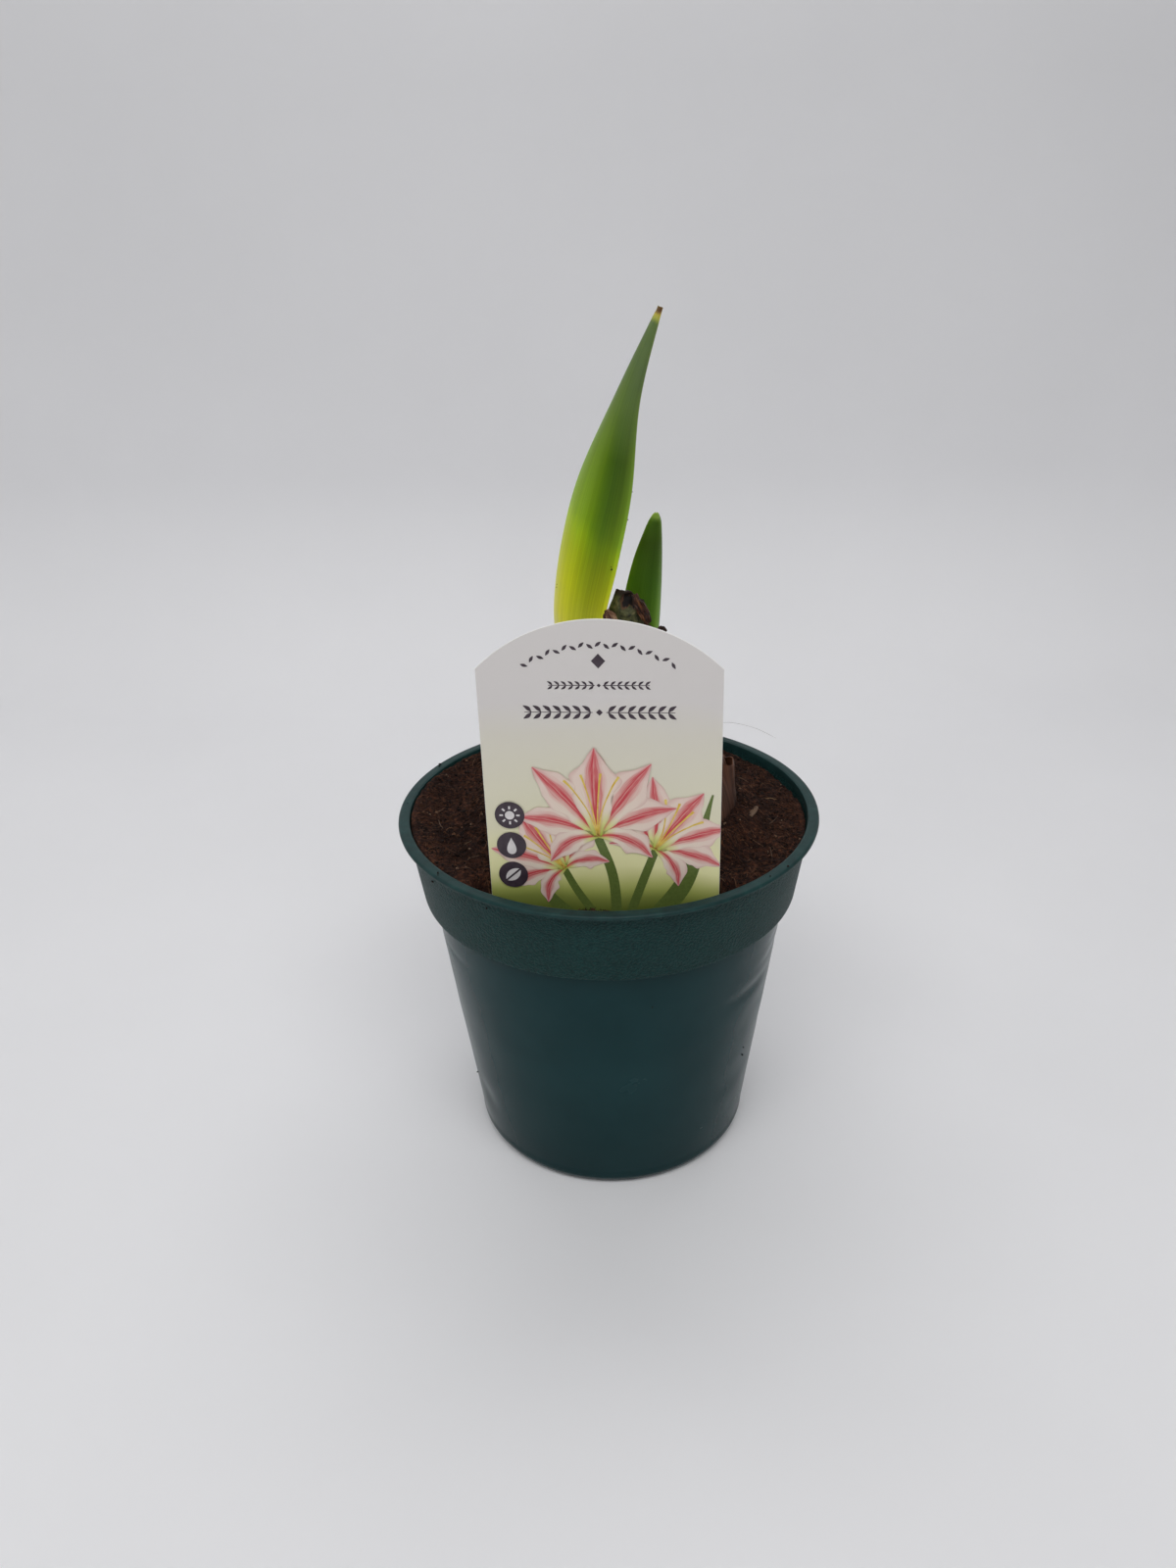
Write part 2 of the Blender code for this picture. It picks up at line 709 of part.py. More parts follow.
def shape_soil(mesh):
    """Gives the flat surface its relief, and keeps its edge on the line of the pot's wall."""
    (low_radius, low), (high_radius, high) = soil_wall()[3:]
    for vertex in mesh.vertices:
        co = vertex.co
        if co.z < high - MERGE:
            continue
        top = soil_height(co.x, co.y)
        at_edge = co.z < SOIL_LEVEL - MERGE
        co.z = min(co.z, top - SOIL_EDGE_DROP) if at_edge else top
        side = low_radius + (high_radius - low_radius) * min(1.0, (co.z - low) / (high - low))
        limit = side if at_edge else side - SOIL_EDGE_INSET
        radius = math.hypot(co.x, co.y)
        if radius > limit:
            co.x *= limit / radius
            co.y *= limit / radius


def build_soil(parts, tools):
    form = turned("soil", soil_profile(), SOIL_STEPS, parts)
    mesh = evaluated_mesh(form)
    bpy.data.objects.remove(form)
    shape_soil(mesh)
    soil = add_object("soil", mesh, parts, make_material("peat"))
    cut(soil, hide_helper(bulb_body("bulb_cavity", tools, GAP)), "Bulb cavity")
    for i in range(ROOT_COUNT):
        cut(soil, hide_helper(root(i, f"root_cavity_{i}", tools, GAP)), f"Root {i}")
    cut(soil, hide_helper(label_plate("label_slot", tools, GAP)), "Label slot")
    smooth_shading(soil, 50)
    return soil


def main():
    clear_scene()
    parts = make_collection("potted_amaryllis")
    tools = make_collection("cutters")
    build_pot(parts, tools)
    build_bulb(parts, tools)
    build_soil(parts, tools)
    build_leaves(parts)
    add_withered_end(parts.objects["old_leaf_base"], tools)
    label_plate("label", parts, 0.0, make_material("label_film"))
    tools.hide_render = True


main()
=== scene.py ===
"""Looks of the potted amaryllis: finer pieces over the frame, materials, the stage and the camera.

Metres, +Z up, origin on the pot's axis on the surface it stands on, label facing -Y.
"""

import math
import random

import bmesh
import bpy
from mathutils import Matrix, Vector, noise


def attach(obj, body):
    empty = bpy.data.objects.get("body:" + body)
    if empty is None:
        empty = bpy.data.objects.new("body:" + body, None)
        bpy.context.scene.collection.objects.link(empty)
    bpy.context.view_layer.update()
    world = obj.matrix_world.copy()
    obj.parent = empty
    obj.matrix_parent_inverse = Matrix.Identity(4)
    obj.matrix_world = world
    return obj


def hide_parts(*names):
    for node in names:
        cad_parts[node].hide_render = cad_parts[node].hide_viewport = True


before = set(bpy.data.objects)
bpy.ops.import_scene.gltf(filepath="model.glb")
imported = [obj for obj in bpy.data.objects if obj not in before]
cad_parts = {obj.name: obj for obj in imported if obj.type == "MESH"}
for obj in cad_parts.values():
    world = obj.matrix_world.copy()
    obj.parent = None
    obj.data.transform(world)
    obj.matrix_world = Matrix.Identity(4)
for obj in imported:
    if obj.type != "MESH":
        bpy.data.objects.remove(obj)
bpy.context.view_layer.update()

MERGE = 0.000002  # points nearer than this are made one
CIRCLE = 2 * math.pi
UP = Vector((0.0, 0.0, 1.0))

# Nursery pot, the sizes of its frame node
POT_HEIGHT = 0.1324
RIM_RADIUS = 0.0750
RIM_INNER_RADIUS = 0.0709
RIM_LIP = 0.0017
WALL = 0.0010
COLLAR_TOP_RADIUS = 0.0720
COLLAR_BOTTOM_RADIUS = 0.0681
COLLAR_FOOT = POT_HEIGHT - 0.0288
STEP_DROP = 0.0014
WALL_TOP_RADIUS = 0.0646
BASE_RADIUS = 0.0523
BASE_CORNER = 0.0050
FOOT_WIDTH = 0.0020
FLOOR_UNDERSIDE = 0.0020
FLOOR_TOP = 0.0035
FLOOR_MIDDLE_RADIUS = 0.0300
DRAIN_RADIUS = 0.0035
DRAIN_RING_RADIUS = 0.0360
DRAIN_COUNT = 8
POT_STEPS = 320

# Peat
SOIL_LEVEL = POT_HEIGHT - 0.0022
SOIL_STEPS = 400
SOIL_RINGS = 82
SOIL_WALL_HEIGHTS = (0.1240, 0.1180, 0.1046, 0.1020, 0.0700, 0.0350, FLOOR_TOP + 0.0020)
SOIL_BULB_HEIGHTS = (0.1250, 0.1100, 0.0950, 0.0800)
SOIL_BULB_GAP = 0.0022
SEED = 7
FIBRE_COUNT = 5200
CRUMB_COUNT = 3400
BULB_FOOT_CRUMBS = 260

# Bulb
BULB_CENTRE = Vector((0.0018, -0.0010, 0.0))
BULB_BOTTOM = 0.0800
BULB_SHOULDER = 0.1400
BULB_WIDEST = 0.0430
NECK_RIM = 0.1925
NECK_RADIUS_X = 0.0208
NECK_RADIUS_Y = 0.0165
NECK_SHIFT = -0.0014
EDGE_FOLD_RADIUS = 0.0130  # where the skin's torn edge folds in over the neck's rim
TUNIC_STEPS = 300
TUNIC_ROWS = 70
CUP_DEPTH = 0.0060  # of the cut inner scales below the rim
FLESH_FOOT = 0.1855
FLESH_RADIUS = 0.0155
ROOT_COUNT = 7
ROOT_STEPS = 28
LEAF_FOOT = 174.5  # in millimetres, as the leaves' stations are
TIP_FRAY = 0.0030
WOUND_X = 0.0078
WOUND_HEIGHT = 0.2098
WOUND_RADIUS = 0.0035

# Label, its outline from the peat's level up
LABEL_CENTRE = Vector((-0.0015, -0.0545, 0.0))
LABEL_TURN = math.radians(-4.5)
LABEL_ROLL = math.radians(-0.6)
LABEL_WIDTH = 0.0731
LABEL_THICKNESS = 0.0006
LABEL_TOP = 0.2201 - SOIL_LEVEL
LABEL_ARCH = 0.0153
LABEL_ARCH_RADIUS = ((LABEL_WIDTH / 2) ** 2 + LABEL_ARCH**2) / (2 * LABEL_ARCH)
LABEL_SHOULDER = 0.1165 - SOIL_LEVEL
LABEL_FRONT = LABEL_THICKNESS / 2
STAKE_HALF = 0.0120
STAKE_FOOT = 0.0640 - SOIL_LEVEL
INK = 0.00005  # from one printed layer to the next
STEM_FOOT = -0.016
BORDER_LEAVES = 19
BORDER_STEP = 0.00245
BORDER_INSET = 0.0078
SIGN_X = -0.0290
SIGN_RADIUS = 0.0047
SUN_HEIGHT = 0.0262
DROP_HEIGHT = 0.0155
SPROUT_HEIGHT = 0.0048

# Paper room
ROOM_LOW = (-2.4, -1.5)
ROOM_HIGH = (2.4, 0.54)
ROOM_HEIGHT = 1.6
ROOM_BEND = 0.14
ROOM_CORNER = 0.30

# Camera, solved from the pot's outline: focal length and height of the photo in pixels
CAMERA_FOCAL = 1202.0
PHOTO_HEIGHT = 1600.0
SENSOR_HEIGHT = 36.0
CAMERA_PLACE = Vector((0.0, -0.3774, 0.3276))
CAMERA_PITCH = math.radians(26.38)
CAMERA_YAW = math.radians(-1.07)
CAMERA_TILT = math.radians(1.26)


# Tools


def colour(code):
    """A #RRGGBB colour as linear RGBA."""
    parts = [int(code[i : i + 2], 16) / 255 for i in (1, 3, 5)]
    return (*[c / 12.92 if c <= 0.04045 else ((c + 0.055) / 1.055) ** 2.4 for c in parts], 1.0)


def link(tree, made, sources):
    """Links inputs, by name or number, to sockets or to the first outputs in use of other nodes."""
    for key, source in sources.items():
        if isinstance(source, bpy.types.Node):
            source = next(output for output in source.outputs if output.enabled)
        tree.links.new(source, made.inputs[key])


def node(tree, kind, settings=None, links=None):
    """Adds a node. settings holds its properties and sockets by name or number, links its sources.

    stops are a colour ramp's places and colours, and range is what a Map Range goes from and to.
    A Mix node's inputs go by number: 0 is the share, 2 and 3 are numbers, 4 and 5 vectors, 6 and 7
    colours.
    """
    made = tree.nodes.new(f"ShaderNode{kind}")
    for key, value in (settings or {}).items():
        if key == "stops":
            elements = made.color_ramp.elements
            elements.remove(elements[1])
            elements[0].position, elements[0].color = value[0][0], colour(value[0][1])
            for place, tint in value[1:]:
                elements.new(place).color = colour(tint)
        elif key == "range":
            for end, number in zip(("From Min", "From Max", "To Min", "To Max"), value):
                made.inputs[end].default_value = number
        elif isinstance(key, str) and hasattr(made, key):
            setattr(made, key, value)
        else:
            made.inputs[key].default_value = value
    link(tree, made, links or {})
    return made


def start_material(name, roughness, ior, specular=0.5, settings=None):
    """A new material with its shader's even values set, and its tree and shader."""
    material = bpy.data.materials.new(name)
    material.use_nodes = True
    shader = material.node_tree.nodes["Principled BSDF"]
    even = {"Roughness": roughness, "IOR": ior, "Specular IOR Level": specular, **(settings or {})}
    for key, value in even.items():
        shader.inputs[key].default_value = value
    return material, material.node_tree, shader


def mottled(name, roughness, ior, specular, grain, stops, relief=None):
    """A material whose colour, and relief if it has one, follow one noise through the object."""
    material, tree, shader = start_material(name, roughness, ior, specular)
    place = node(tree, "TexCoord").outputs["Object"]
    spots = node(tree, "TexNoise", grain, {"Vector": place})
    tint = node(tree, "ValToRGB", {"stops": stops}, {"Fac": spots})
    link(tree, shader, {"Base Color": tint})
    if relief:
        link(tree, shader, {"Normal": node(tree, "Bump", relief, {"Height": spots})})
    return material


def take_none():
    bpy.ops.object.select_all(action="DESELECT")


def take(obj):
    take_none()
    obj.select_set(True)
    bpy.context.view_layer.objects.active = obj


def apply_all(obj):
    take(obj)
    for modifier in list(obj.modifiers):
        bpy.ops.object.modifier_apply(modifier=modifier.name)


def close_seams():
    """Joins the active mesh's doubles and faces it outwards."""
    bpy.ops.object.mode_set(mode="EDIT")
    bpy.ops.mesh.select_all(action="SELECT")
    bpy.ops.mesh.remove_doubles(threshold=MERGE)
    bpy.ops.mesh.normals_make_consistent(inside=False)
    bpy.ops.object.mode_set(mode="OBJECT")


def finish_piece(obj, materials, degrees):
    """Applies what is left, closes seams, shades smoothly up to an angle and rides the root."""
    apply_all(obj)
    bpy.ops.object.transform_apply(location=True, rotation=True, scale=True)
    close_seams()
    bpy.ops.object.shade_smooth_by_angle(angle=math.radians(degrees))
    for material in materials:
        obj.data.materials.append(material)
    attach(obj, "root")


def turned(name, profile, steps):
    """Draws a profile in the XZ plane by extruding a point along it, and spins it round +Z."""
    take_none()
    bpy.ops.mesh.primitive_plane_add(size=0.002, location=(0, 0, 0))
    obj = bpy.context.object
    obj.name = name
    bpy.ops.object.mode_set(mode="EDIT")
    bpy.ops.mesh.select_all(action="SELECT")
    bpy.ops.mesh.merge(type="CENTER")
    bpy.ops.transform.translate(value=(profile[0][0], 0, profile[0][1]))
    for (r0, z0), (r1, z1) in zip(profile, profile[1:]):
        bpy.ops.mesh.extrude_region_move(TRANSFORM_OT_translate={"value": (r1 - r0, 0, z1 - z0)})
    bpy.ops.mesh.select_all(action="SELECT")
    bpy.ops.mesh.spin(steps=steps, angle=CIRCLE, center=(0, 0, 0), axis=(0, 0, 1))
    close_seams()
    return obj


def new_object(name, bm):
    mesh = bpy.data.meshes.new(name)
    bm.to_mesh(mesh)
    bm.free()
    obj = bpy.data.objects.new(name, mesh)
    bpy.context.scene.collection.objects.link(obj)
    return obj


def thicken(obj, thickness, offset):
    shell = obj.modifiers.new("Shell", "SOLIDIFY")
    shell.thickness = thickness
    shell.offset = offset
    return shell


def join_rings(bm, rings):
    """Joins closed rings of points, each as long as the next, with a band of faces."""
    for low, high in zip(rings, rings[1:]):
        for i in range(len(low)):
            j = (i + 1) % len(low)
            bm.faces.new((low[i], low[j], high[j], high[i]))


def tube(bm, path, radii, sides):
    """Adds a closed tube along a path to a mesh, and says how many points it has."""
    rings = []
    side = Vector((1.0, 0.0, 0.0))
    for i, place in enumerate(path):
        ahead = (path[min(i + 1, len(path) - 1)] - path[max(i - 1, 0)]).normalized()
        side = side - ahead * side.dot(ahead)
        if side.length < 0.01:
            side = ahead.orthogonal()
        side.normalize()
        up = ahead.cross(side)
        turns = [CIRCLE * k / sides for k in range(sides)]
        outs = [(side * math.cos(a) + up * math.sin(a)) * radii[i] for a in turns]
        rings.append([bm.verts.new(place + out) for out in outs])
    join_rings(bm, rings)
    bm.faces.new(list(reversed(rings[0])))
    bm.faces.new(rings[-1])
    return len(path) * sides


def polar(radius, angle, height=0.0):
    return Vector((radius * math.cos(angle), radius * math.sin(angle), height))


def between(a, b, count):
    """count points from a towards b, with a and without b."""
    return [tuple(p + (q - p) * i / count for p, q in zip(a, b)) for i in range(count)]


def arc(centre, radius, start, end, steps):
    turn = [math.radians(start + (end - start) * i / steps) for i in range(steps + 1)]
    return [(centre[0] + radius * math.cos(a), centre[1] + radius * math.sin(a)) for a in turn]


def smooth_line(points, count):
    """count + 1 points, evenly spaced in parameter, on a Catmull-Rom curve through points."""
    knots = [Vector(p) for p in points]
    knots = [2 * knots[0] - knots[1], *knots, 2 * knots[-1] - knots[-2]]
    spans = len(knots) - 3
    line = []
    for i in range(count + 1):
        place = spans * i / count
        k = min(int(place), spans - 1)
        u = place - k
        a, b, c, d = knots[k : k + 4]
        low = 0.5 * (2 * b + (c - a) * u + (2 * a - 5 * b + 4 * c - d) * u**2)
        line.append(low + 0.5 * (3 * b - a - 3 * c + d) * u**3)
    return line


def smooth_values(values, count):
    return [p.x for p in smooth_line([(v, 0, 0) for v in values], count)]


def ramp(value):
    """An S-curve from 0 at 0 to 1 at 1, level beyond."""
    share = max(0.0, min(1.0, value))
    return share**2 * (3 - 2 * share)


def along_points(points, height):
    """The radius at a height of a side given as (radius, height) from its foot up."""
    for (r0, z0), (r1, z1) in zip(points, points[1:]):
        if height <= z1:
            return r0 + (r1 - r0) * max(0.0, (height - z0) / (z1 - z0))
    return points[-1][0]


def held_within(x, y, limit):
    """A place, moved in towards the axis if it lies further out than limit."""
    radius = math.hypot(x, y)
    return (x * limit / radius, y * limit / radius) if radius > limit else (x, y)


# Pot


def collar_material():
    # Injection-moulded polypropylene from a spark-eroded mould: a matte skin of shallow leathery
    # cells about a millimetre across, which break up the light into fine dark and pale flecks. The
    # colour follows the same cells too: painted shade in their pits and painted highlights on their
    # crests, over a faint random mottle
    material, tree, shader = start_material("pot_collar", 0.46, 1.49, 0.14)
    place = node(tree, "TexCoord").outputs["Object"]
    patches = node(tree, "TexNoise", {"Scale": 70, "Detail": 4}, {"Vector": place})
    cells_and_shading = node(tree, "TexNoise", {"Scale": 1150, "Detail": 3, "Roughness": 0.6}, {"Vector": place})
    both = node(tree, "Mix", {0: 0.78}, {2: patches, 3: cells_and_shading})
    stops = [(0.34, "#112F2E"), (0.50, "#153837"), (0.66, "#1A4240")]
    # Painted shade and highlights of the grain, where the colour follows the cells
    tint = node(tree, "ValToRGB", {"stops": stops}, {"Fac": both})
    bump = node(tree, "Bump", {"Strength": 1.0, "Distance": 0.0012}, {"Height": cells_and_shading})
    link(tree, shader, {"Base Color": tint, "Normal": bump})
    return material


def rim_material():
    # The flange of the same moulding: satin where the mould was polished, dusty with dried peat
    stops = [(0.32, "#132F2F"), (0.62, "#193A39"), (0.80, "#264745")]
    relief = {"Strength": 0.3, "Distance": 0.0002}
    return mottled("pot_rim", 0.42, 1.49, 0.22, {"Scale": 240, "Detail": 5}, stops, relief)


def wall_material():
    # The same polypropylene from a polished mould: smooth and a little glossy, with a greasy bloom
    # that varies how sharply it reflects. Its colour is made darker towards its foot
    material, tree, shader = start_material("pot_wall", 0.26, 1.49, 0.10)
    place = node(tree, "TexCoord").outputs["Object"]
    patches = node(tree, "TexNoise", {"Scale": 30, "Detail": 5}, {"Vector": place})
    stops = [(0.30, "#163437"), (0.70, "#1B3B3E")]
    tint = node(tree, "ValToRGB", {"stops": stops}, {"Fac": patches})
    height = node(tree, "SeparateXYZ", {}, {0: place}).outputs["Z"]
    # Darker towards the foot: the colour falls to four fifths over the lowest five centimetres
    toned = node(tree, "MapRange", {"range": (0.005, 0.055, 0.80, 1.0)}, {"Value": height})
    multiply = {"data_type": "RGBA", "blend_type": "MULTIPLY", 0: 1.0}
    darker_to_foot = node(tree, "Mix", multiply, {6: tint, 7: toned})
    gloss = node(tree, "MapRange", {"range": (0.3, 0.7, 0.17, 0.28)}, {"Value": patches})
    link(tree, shader, {"Base Color": darker_to_foot, "Roughness": gloss})
    return material


def pot_profile():
    """Floor centre, up the inside, over the rim, down the outside and back under the floor."""
    step_top = COLLAR_FOOT + 0.0010
    step_foot = step_top - STEP_DROP - 0.0012
    wall_top = (WALL_TOP_RADIUS, COLLAR_FOOT - STEP_DROP - 0.0006)
    wall_foot = (BASE_RADIUS, BASE_CORNER + 0.0012)
    collar_top = (COLLAR_TOP_RADIUS, POT_HEIGHT - RIM_LIP - 0.0006)
    collar_foot = (COLLAR_BOTTOM_RADIUS + 0.0001, COLLAR_FOOT + 0.0010)
    foot_outer = BASE_RADIUS - BASE_CORNER
    foot_inner = foot_outer - FOOT_WIDTH
    rim_edge = (RIM_RADIUS - 0.0010, POT_HEIGHT - 0.0011)
    rim_start = (RIM_INNER_RADIUS + 0.0010, POT_HEIGHT)
    rim_end = (RIM_RADIUS - 0.0014, POT_HEIGHT - 0.0001)
    return [
        (0.0, FLOOR_TOP),
        (FLOOR_MIDDLE_RADIUS, FLOOR_TOP),
        (BASE_RADIUS - WALL - 0.0016, FLOOR_TOP),
        (BASE_RADIUS - WALL - 0.0005, FLOOR_TOP + 0.0007),
        (BASE_RADIUS - WALL, FLOOR_TOP + 0.0020),
        (WALL_TOP_RADIUS - WALL, step_foot),
        (COLLAR_BOTTOM_RADIUS - WALL, step_top),
        (COLLAR_TOP_RADIUS - WALL - 0.0001, POT_HEIGHT - RIM_LIP - WALL),
        (RIM_INNER_RADIUS, POT_HEIGHT - 0.0009),
        (RIM_INNER_RADIUS + 0.0002, POT_HEIGHT - 0.0003),
        (RIM_INNER_RADIUS + 0.0008, POT_HEIGHT),
        *between(rim_start, rim_end, 4),
        *arc(rim_edge, 0.0010, 80, 0, 6),
        (RIM_RADIUS - 0.0001, POT_HEIGHT - RIM_LIP + 0.0002),
        (RIM_RADIUS - 0.0004, POT_HEIGHT - RIM_LIP),
        (COLLAR_TOP_RADIUS + 0.0004, POT_HEIGHT - RIM_LIP - 0.0001),
        *between(collar_top, collar_foot, 14),
        collar_foot,
        (COLLAR_BOTTOM_RADIUS - 0.0001, COLLAR_FOOT + 0.0003),
        (COLLAR_BOTTOM_RADIUS - 0.0005, COLLAR_FOOT),
        (WALL_TOP_RADIUS + 0.0010, COLLAR_FOOT - STEP_DROP + 0.0003),
        (WALL_TOP_RADIUS + 0.0003, COLLAR_FOOT - STEP_DROP),
        *between(wall_top, wall_foot, 84),
        wall_foot,
        *arc((foot_outer, BASE_CORNER), BASE_CORNER, 0, -90, 10),
        (foot_inner, 0.0),
        (foot_inner - 0.0003, 0.0003),
        (foot_inner - 0.0006, FLOOR_UNDERSIDE),
        (FLOOR_MIDDLE_RADIUS, FLOOR_UNDERSIDE),
        (0.0, FLOOR_UNDERSIDE),
    ]


# Creases and hollows in the thin wall: angle and half its reach in degrees, height and half its
# height in millimetres, depth in millimetres
WALL_DENTS = [
    (-36.0, 11.0, 77.0, 2.6, 0.50),
    (-20.0, 12.0, 84.5, 1.6, 0.22),
    (-14.0, 14.0, 91.5, 1.3, 0.16),
    (-152.0, 8.0, 89.0, 1.3, 0.22),
    (-150.0, 7.0, 22.0, 6.0, 0.55),
    (-100.0, 30.0, 70.0, 2.0, 0.07),
]


def dent(x, y, z):
    """How far the thin wall stands out or in at a place, from cooling and handling."""
    angle = math.atan2(y, x)
    hollow = 0.0
    for degrees, reach, height, half, depth in WALL_DENTS:
        away = (math.degrees(angle) - degrees) / reach
        over = (z * 1000 - height) / half
        hollow += depth / 1000 * math.exp(-(away**2) - over**2)
    right = max(0.0, math.cos(angle + 0.15)) ** 3
    left = max(0.0, math.cos(angle - 2.9)) ** 4
    span = ramp((COLLAR_FOOT - z) / 0.020) * ramp((z - BASE_CORNER) / 0.020)
    broad = noise.noise(Vector((x, y, z * 1.6)) / 0.022)
    small = noise.noise(Vector((x, y, z * 1.3 + 0.4)) / 0.011)
    uneven = (0.00026 * right + 0.00012 * left) * (broad + 0.7 * small)
    return span * (0.00012 * broad + uneven) - hollow


def build_pot():
    """The moulding with its drain holes cut, its thin wall dented, and a finish for each zone."""
    pot = turned("pot_body", pot_profile(), POT_STEPS)
    turns = [CIRCLE * (i + 0.5) / DRAIN_COUNT for i in range(DRAIN_COUNT)]
    drains = []
    take_none()
    for place in [*(polar(DRAIN_RING_RADIUS, a, FLOOR_TOP) for a in turns), (0.0, 0.0, FLOOR_TOP)]:
        bpy.ops.mesh.primitive_cylinder_add(
            vertices=24, radius=DRAIN_RADIUS, depth=3 * FLOOR_TOP, location=place
        )
        drains.append(bpy.context.object)
    for drain in drains:
        drain.select_set(True)
    bpy.ops.object.join()
    cutter = bpy.context.object
    cut = pot.modifiers.new("Drains", "BOOLEAN")
    cut.operation = "DIFFERENCE"
    cut.object = cutter
    apply_all(pot)
    bpy.data.objects.remove(cutter)
    for vertex in pot.data.vertices:
        co = vertex.co
        radius = math.hypot(co.x, co.y)
        if radius > BASE_RADIUS - WALL - 0.0005 and co.z < COLLAR_FOOT:
            shift = 1 + dent(co.x, co.y, co.z) / radius
            co.x *= shift
            co.y *= shift
    finish_piece(pot, [wall_material(), collar_material(), rim_material()], 32)
    for face in pot.data.polygons:
        if face.center.z > COLLAR_FOOT - 0.0002:
            face.material_index = 1
        if face.center.z > POT_HEIGHT - RIM_LIP - 0.0003:
            face.material_index = 2
    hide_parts("pot")


# Bulb


def bulb_side(count):
    """The bulb's outer side from the neck's rim down to the basal plate, as (radius, height)."""
    outline = [
        (NECK_RADIUS_X, NECK_RIM),
        (0.0222, 0.1850),
        (0.0280, 0.1720),
        (0.0383, 0.1520),
        (0.0419, BULB_SHOULDER),
        (0.0428, 0.1280),
        (0.0400, 0.1120),
        (0.0310, 0.0950),
        (0.0130, BULB_BOTTOM),
    ]
    return [(p.x, p.z) for p in smooth_line([(r, 0.0, z) for r, z in outline], count)]


SIDE = bulb_side(160)[::-1]


def neck_shape(angle, height):
    """How far up the neck a height is, from 0 to 1, and the share of its radius an angle has."""
    neck = max(0.0, min(1.0, (height - BULB_SHOULDER) / (NECK_RIM - BULB_SHOULDER)))
    return neck, 1 - (1 - NECK_RADIUS_Y / NECK_RADIUS_X) * neck * abs(math.sin(angle)) ** 1.5


def bulb_place(angle, height, out):
    """The point on the bulb's side at an angle and height, out metres outside its skin."""
    neck, oval = neck_shape(angle, height)
    radius = EDGE_FOLD_RADIUS if height >= NECK_RIM else along_points(SIDE, height)
    shift = Vector((NECK_SHIFT * neck, 0.0, 0.0))
    return BULB_CENTRE + polar(radius * oval + out, angle, height) + shift


def rim_rag(angle):
    """How far the dried neck stands above or below its mean height."""
    front_peak = 0.0050 * max(0.0, math.cos(angle - 0.10)) ** 16
    back_peak = 0.0042 * max(0.0, math.cos(angle - 2.2)) ** 10
    side_peak = 0.0030 * max(0.0, math.cos(angle - 3.5)) ** 12
    ragged = 0.0008 * math.sin(5 * angle + 1.0) + 0.0005 * math.sin(13 * angle)
    around = polar(1, angle, 0.3)
    torn = 0.0040 * max(0.0, noise.noise(around * 9) - 0.08) + 0.0012 * noise.noise(around * 30)
    return front_peak + back_peak + side_peak + ragged - torn


def tunic_edge(angle, layer):
    """Height of the torn upper edge of an outer tunic."""
    height = (0.1520, 0.1740, NECK_RIM)[layer]
    if layer == 2:
        return height + rim_rag(angle)
    wave = math.sin((2 + layer) * angle + 0.7 + layer)
    wave += 0.6 * math.sin((5 + 2 * layer) * angle + layer)
    return height - 0.0034 * wave + 0.0016 * noise.noise(polar(1, angle, layer) * 7)


def skin_relief(angle, height, seed):
    """Long shallow folds and fine fibres that run up the dry skin."""
    around = polar(1, angle)
    folds = noise.noise(around * 5 + UP * (height * 18 + seed))
    fibres = noise.noise(around * 34 + UP * (height * 22 + seed))
    return 0.0005 * folds + 0.00016 * fibres


def tunic(name, layer, foot, out):
    """One thin papery skin: a sheet round the bulb from its foot up to a torn edge."""
    bm = bmesh.new()
    rings = []
    for row in range(TUNIC_ROWS + 1):
        share = row / TUNIC_ROWS
        ring = []
        for step in range(TUNIC_STEPS):
            angle = CIRCLE * step / TUNIC_STEPS
            height = foot + (tunic_edge(angle, layer) - foot) * share
            bent = max(0.0, noise.noise(polar(1, angle, layer + 0.5) * 5))
            curl = 0.0006 * ramp((share - 0.93) / 0.07) + 0.0034 * bent * ramp((share - 0.80) / 0.20)
            away = out + skin_relief(angle, height, layer) + curl
            place = bulb_place(angle, min(height, NECK_RIM), away)
            place.z = height
            ring.append(bm.verts.new(place))
        rings.append(ring)
    join_rings(bm, rings)
    sheet = new_object(name, bm)
    thicken(sheet, 0.00035, -1.0)
    return sheet


def add_grain(obj):
    """Stores each point's place on a drum about the bulb, on which its fibres run upwards."""
    grain = obj.data.attributes.new("grain", "FLOAT_VECTOR", "POINT")
    for vertex in obj.data.vertices:
        away = vertex.co - BULB_CENTRE
        grain.data[vertex.index].vector = polar(BULB_WIDEST, math.atan2(away.y, away.x), away.z)


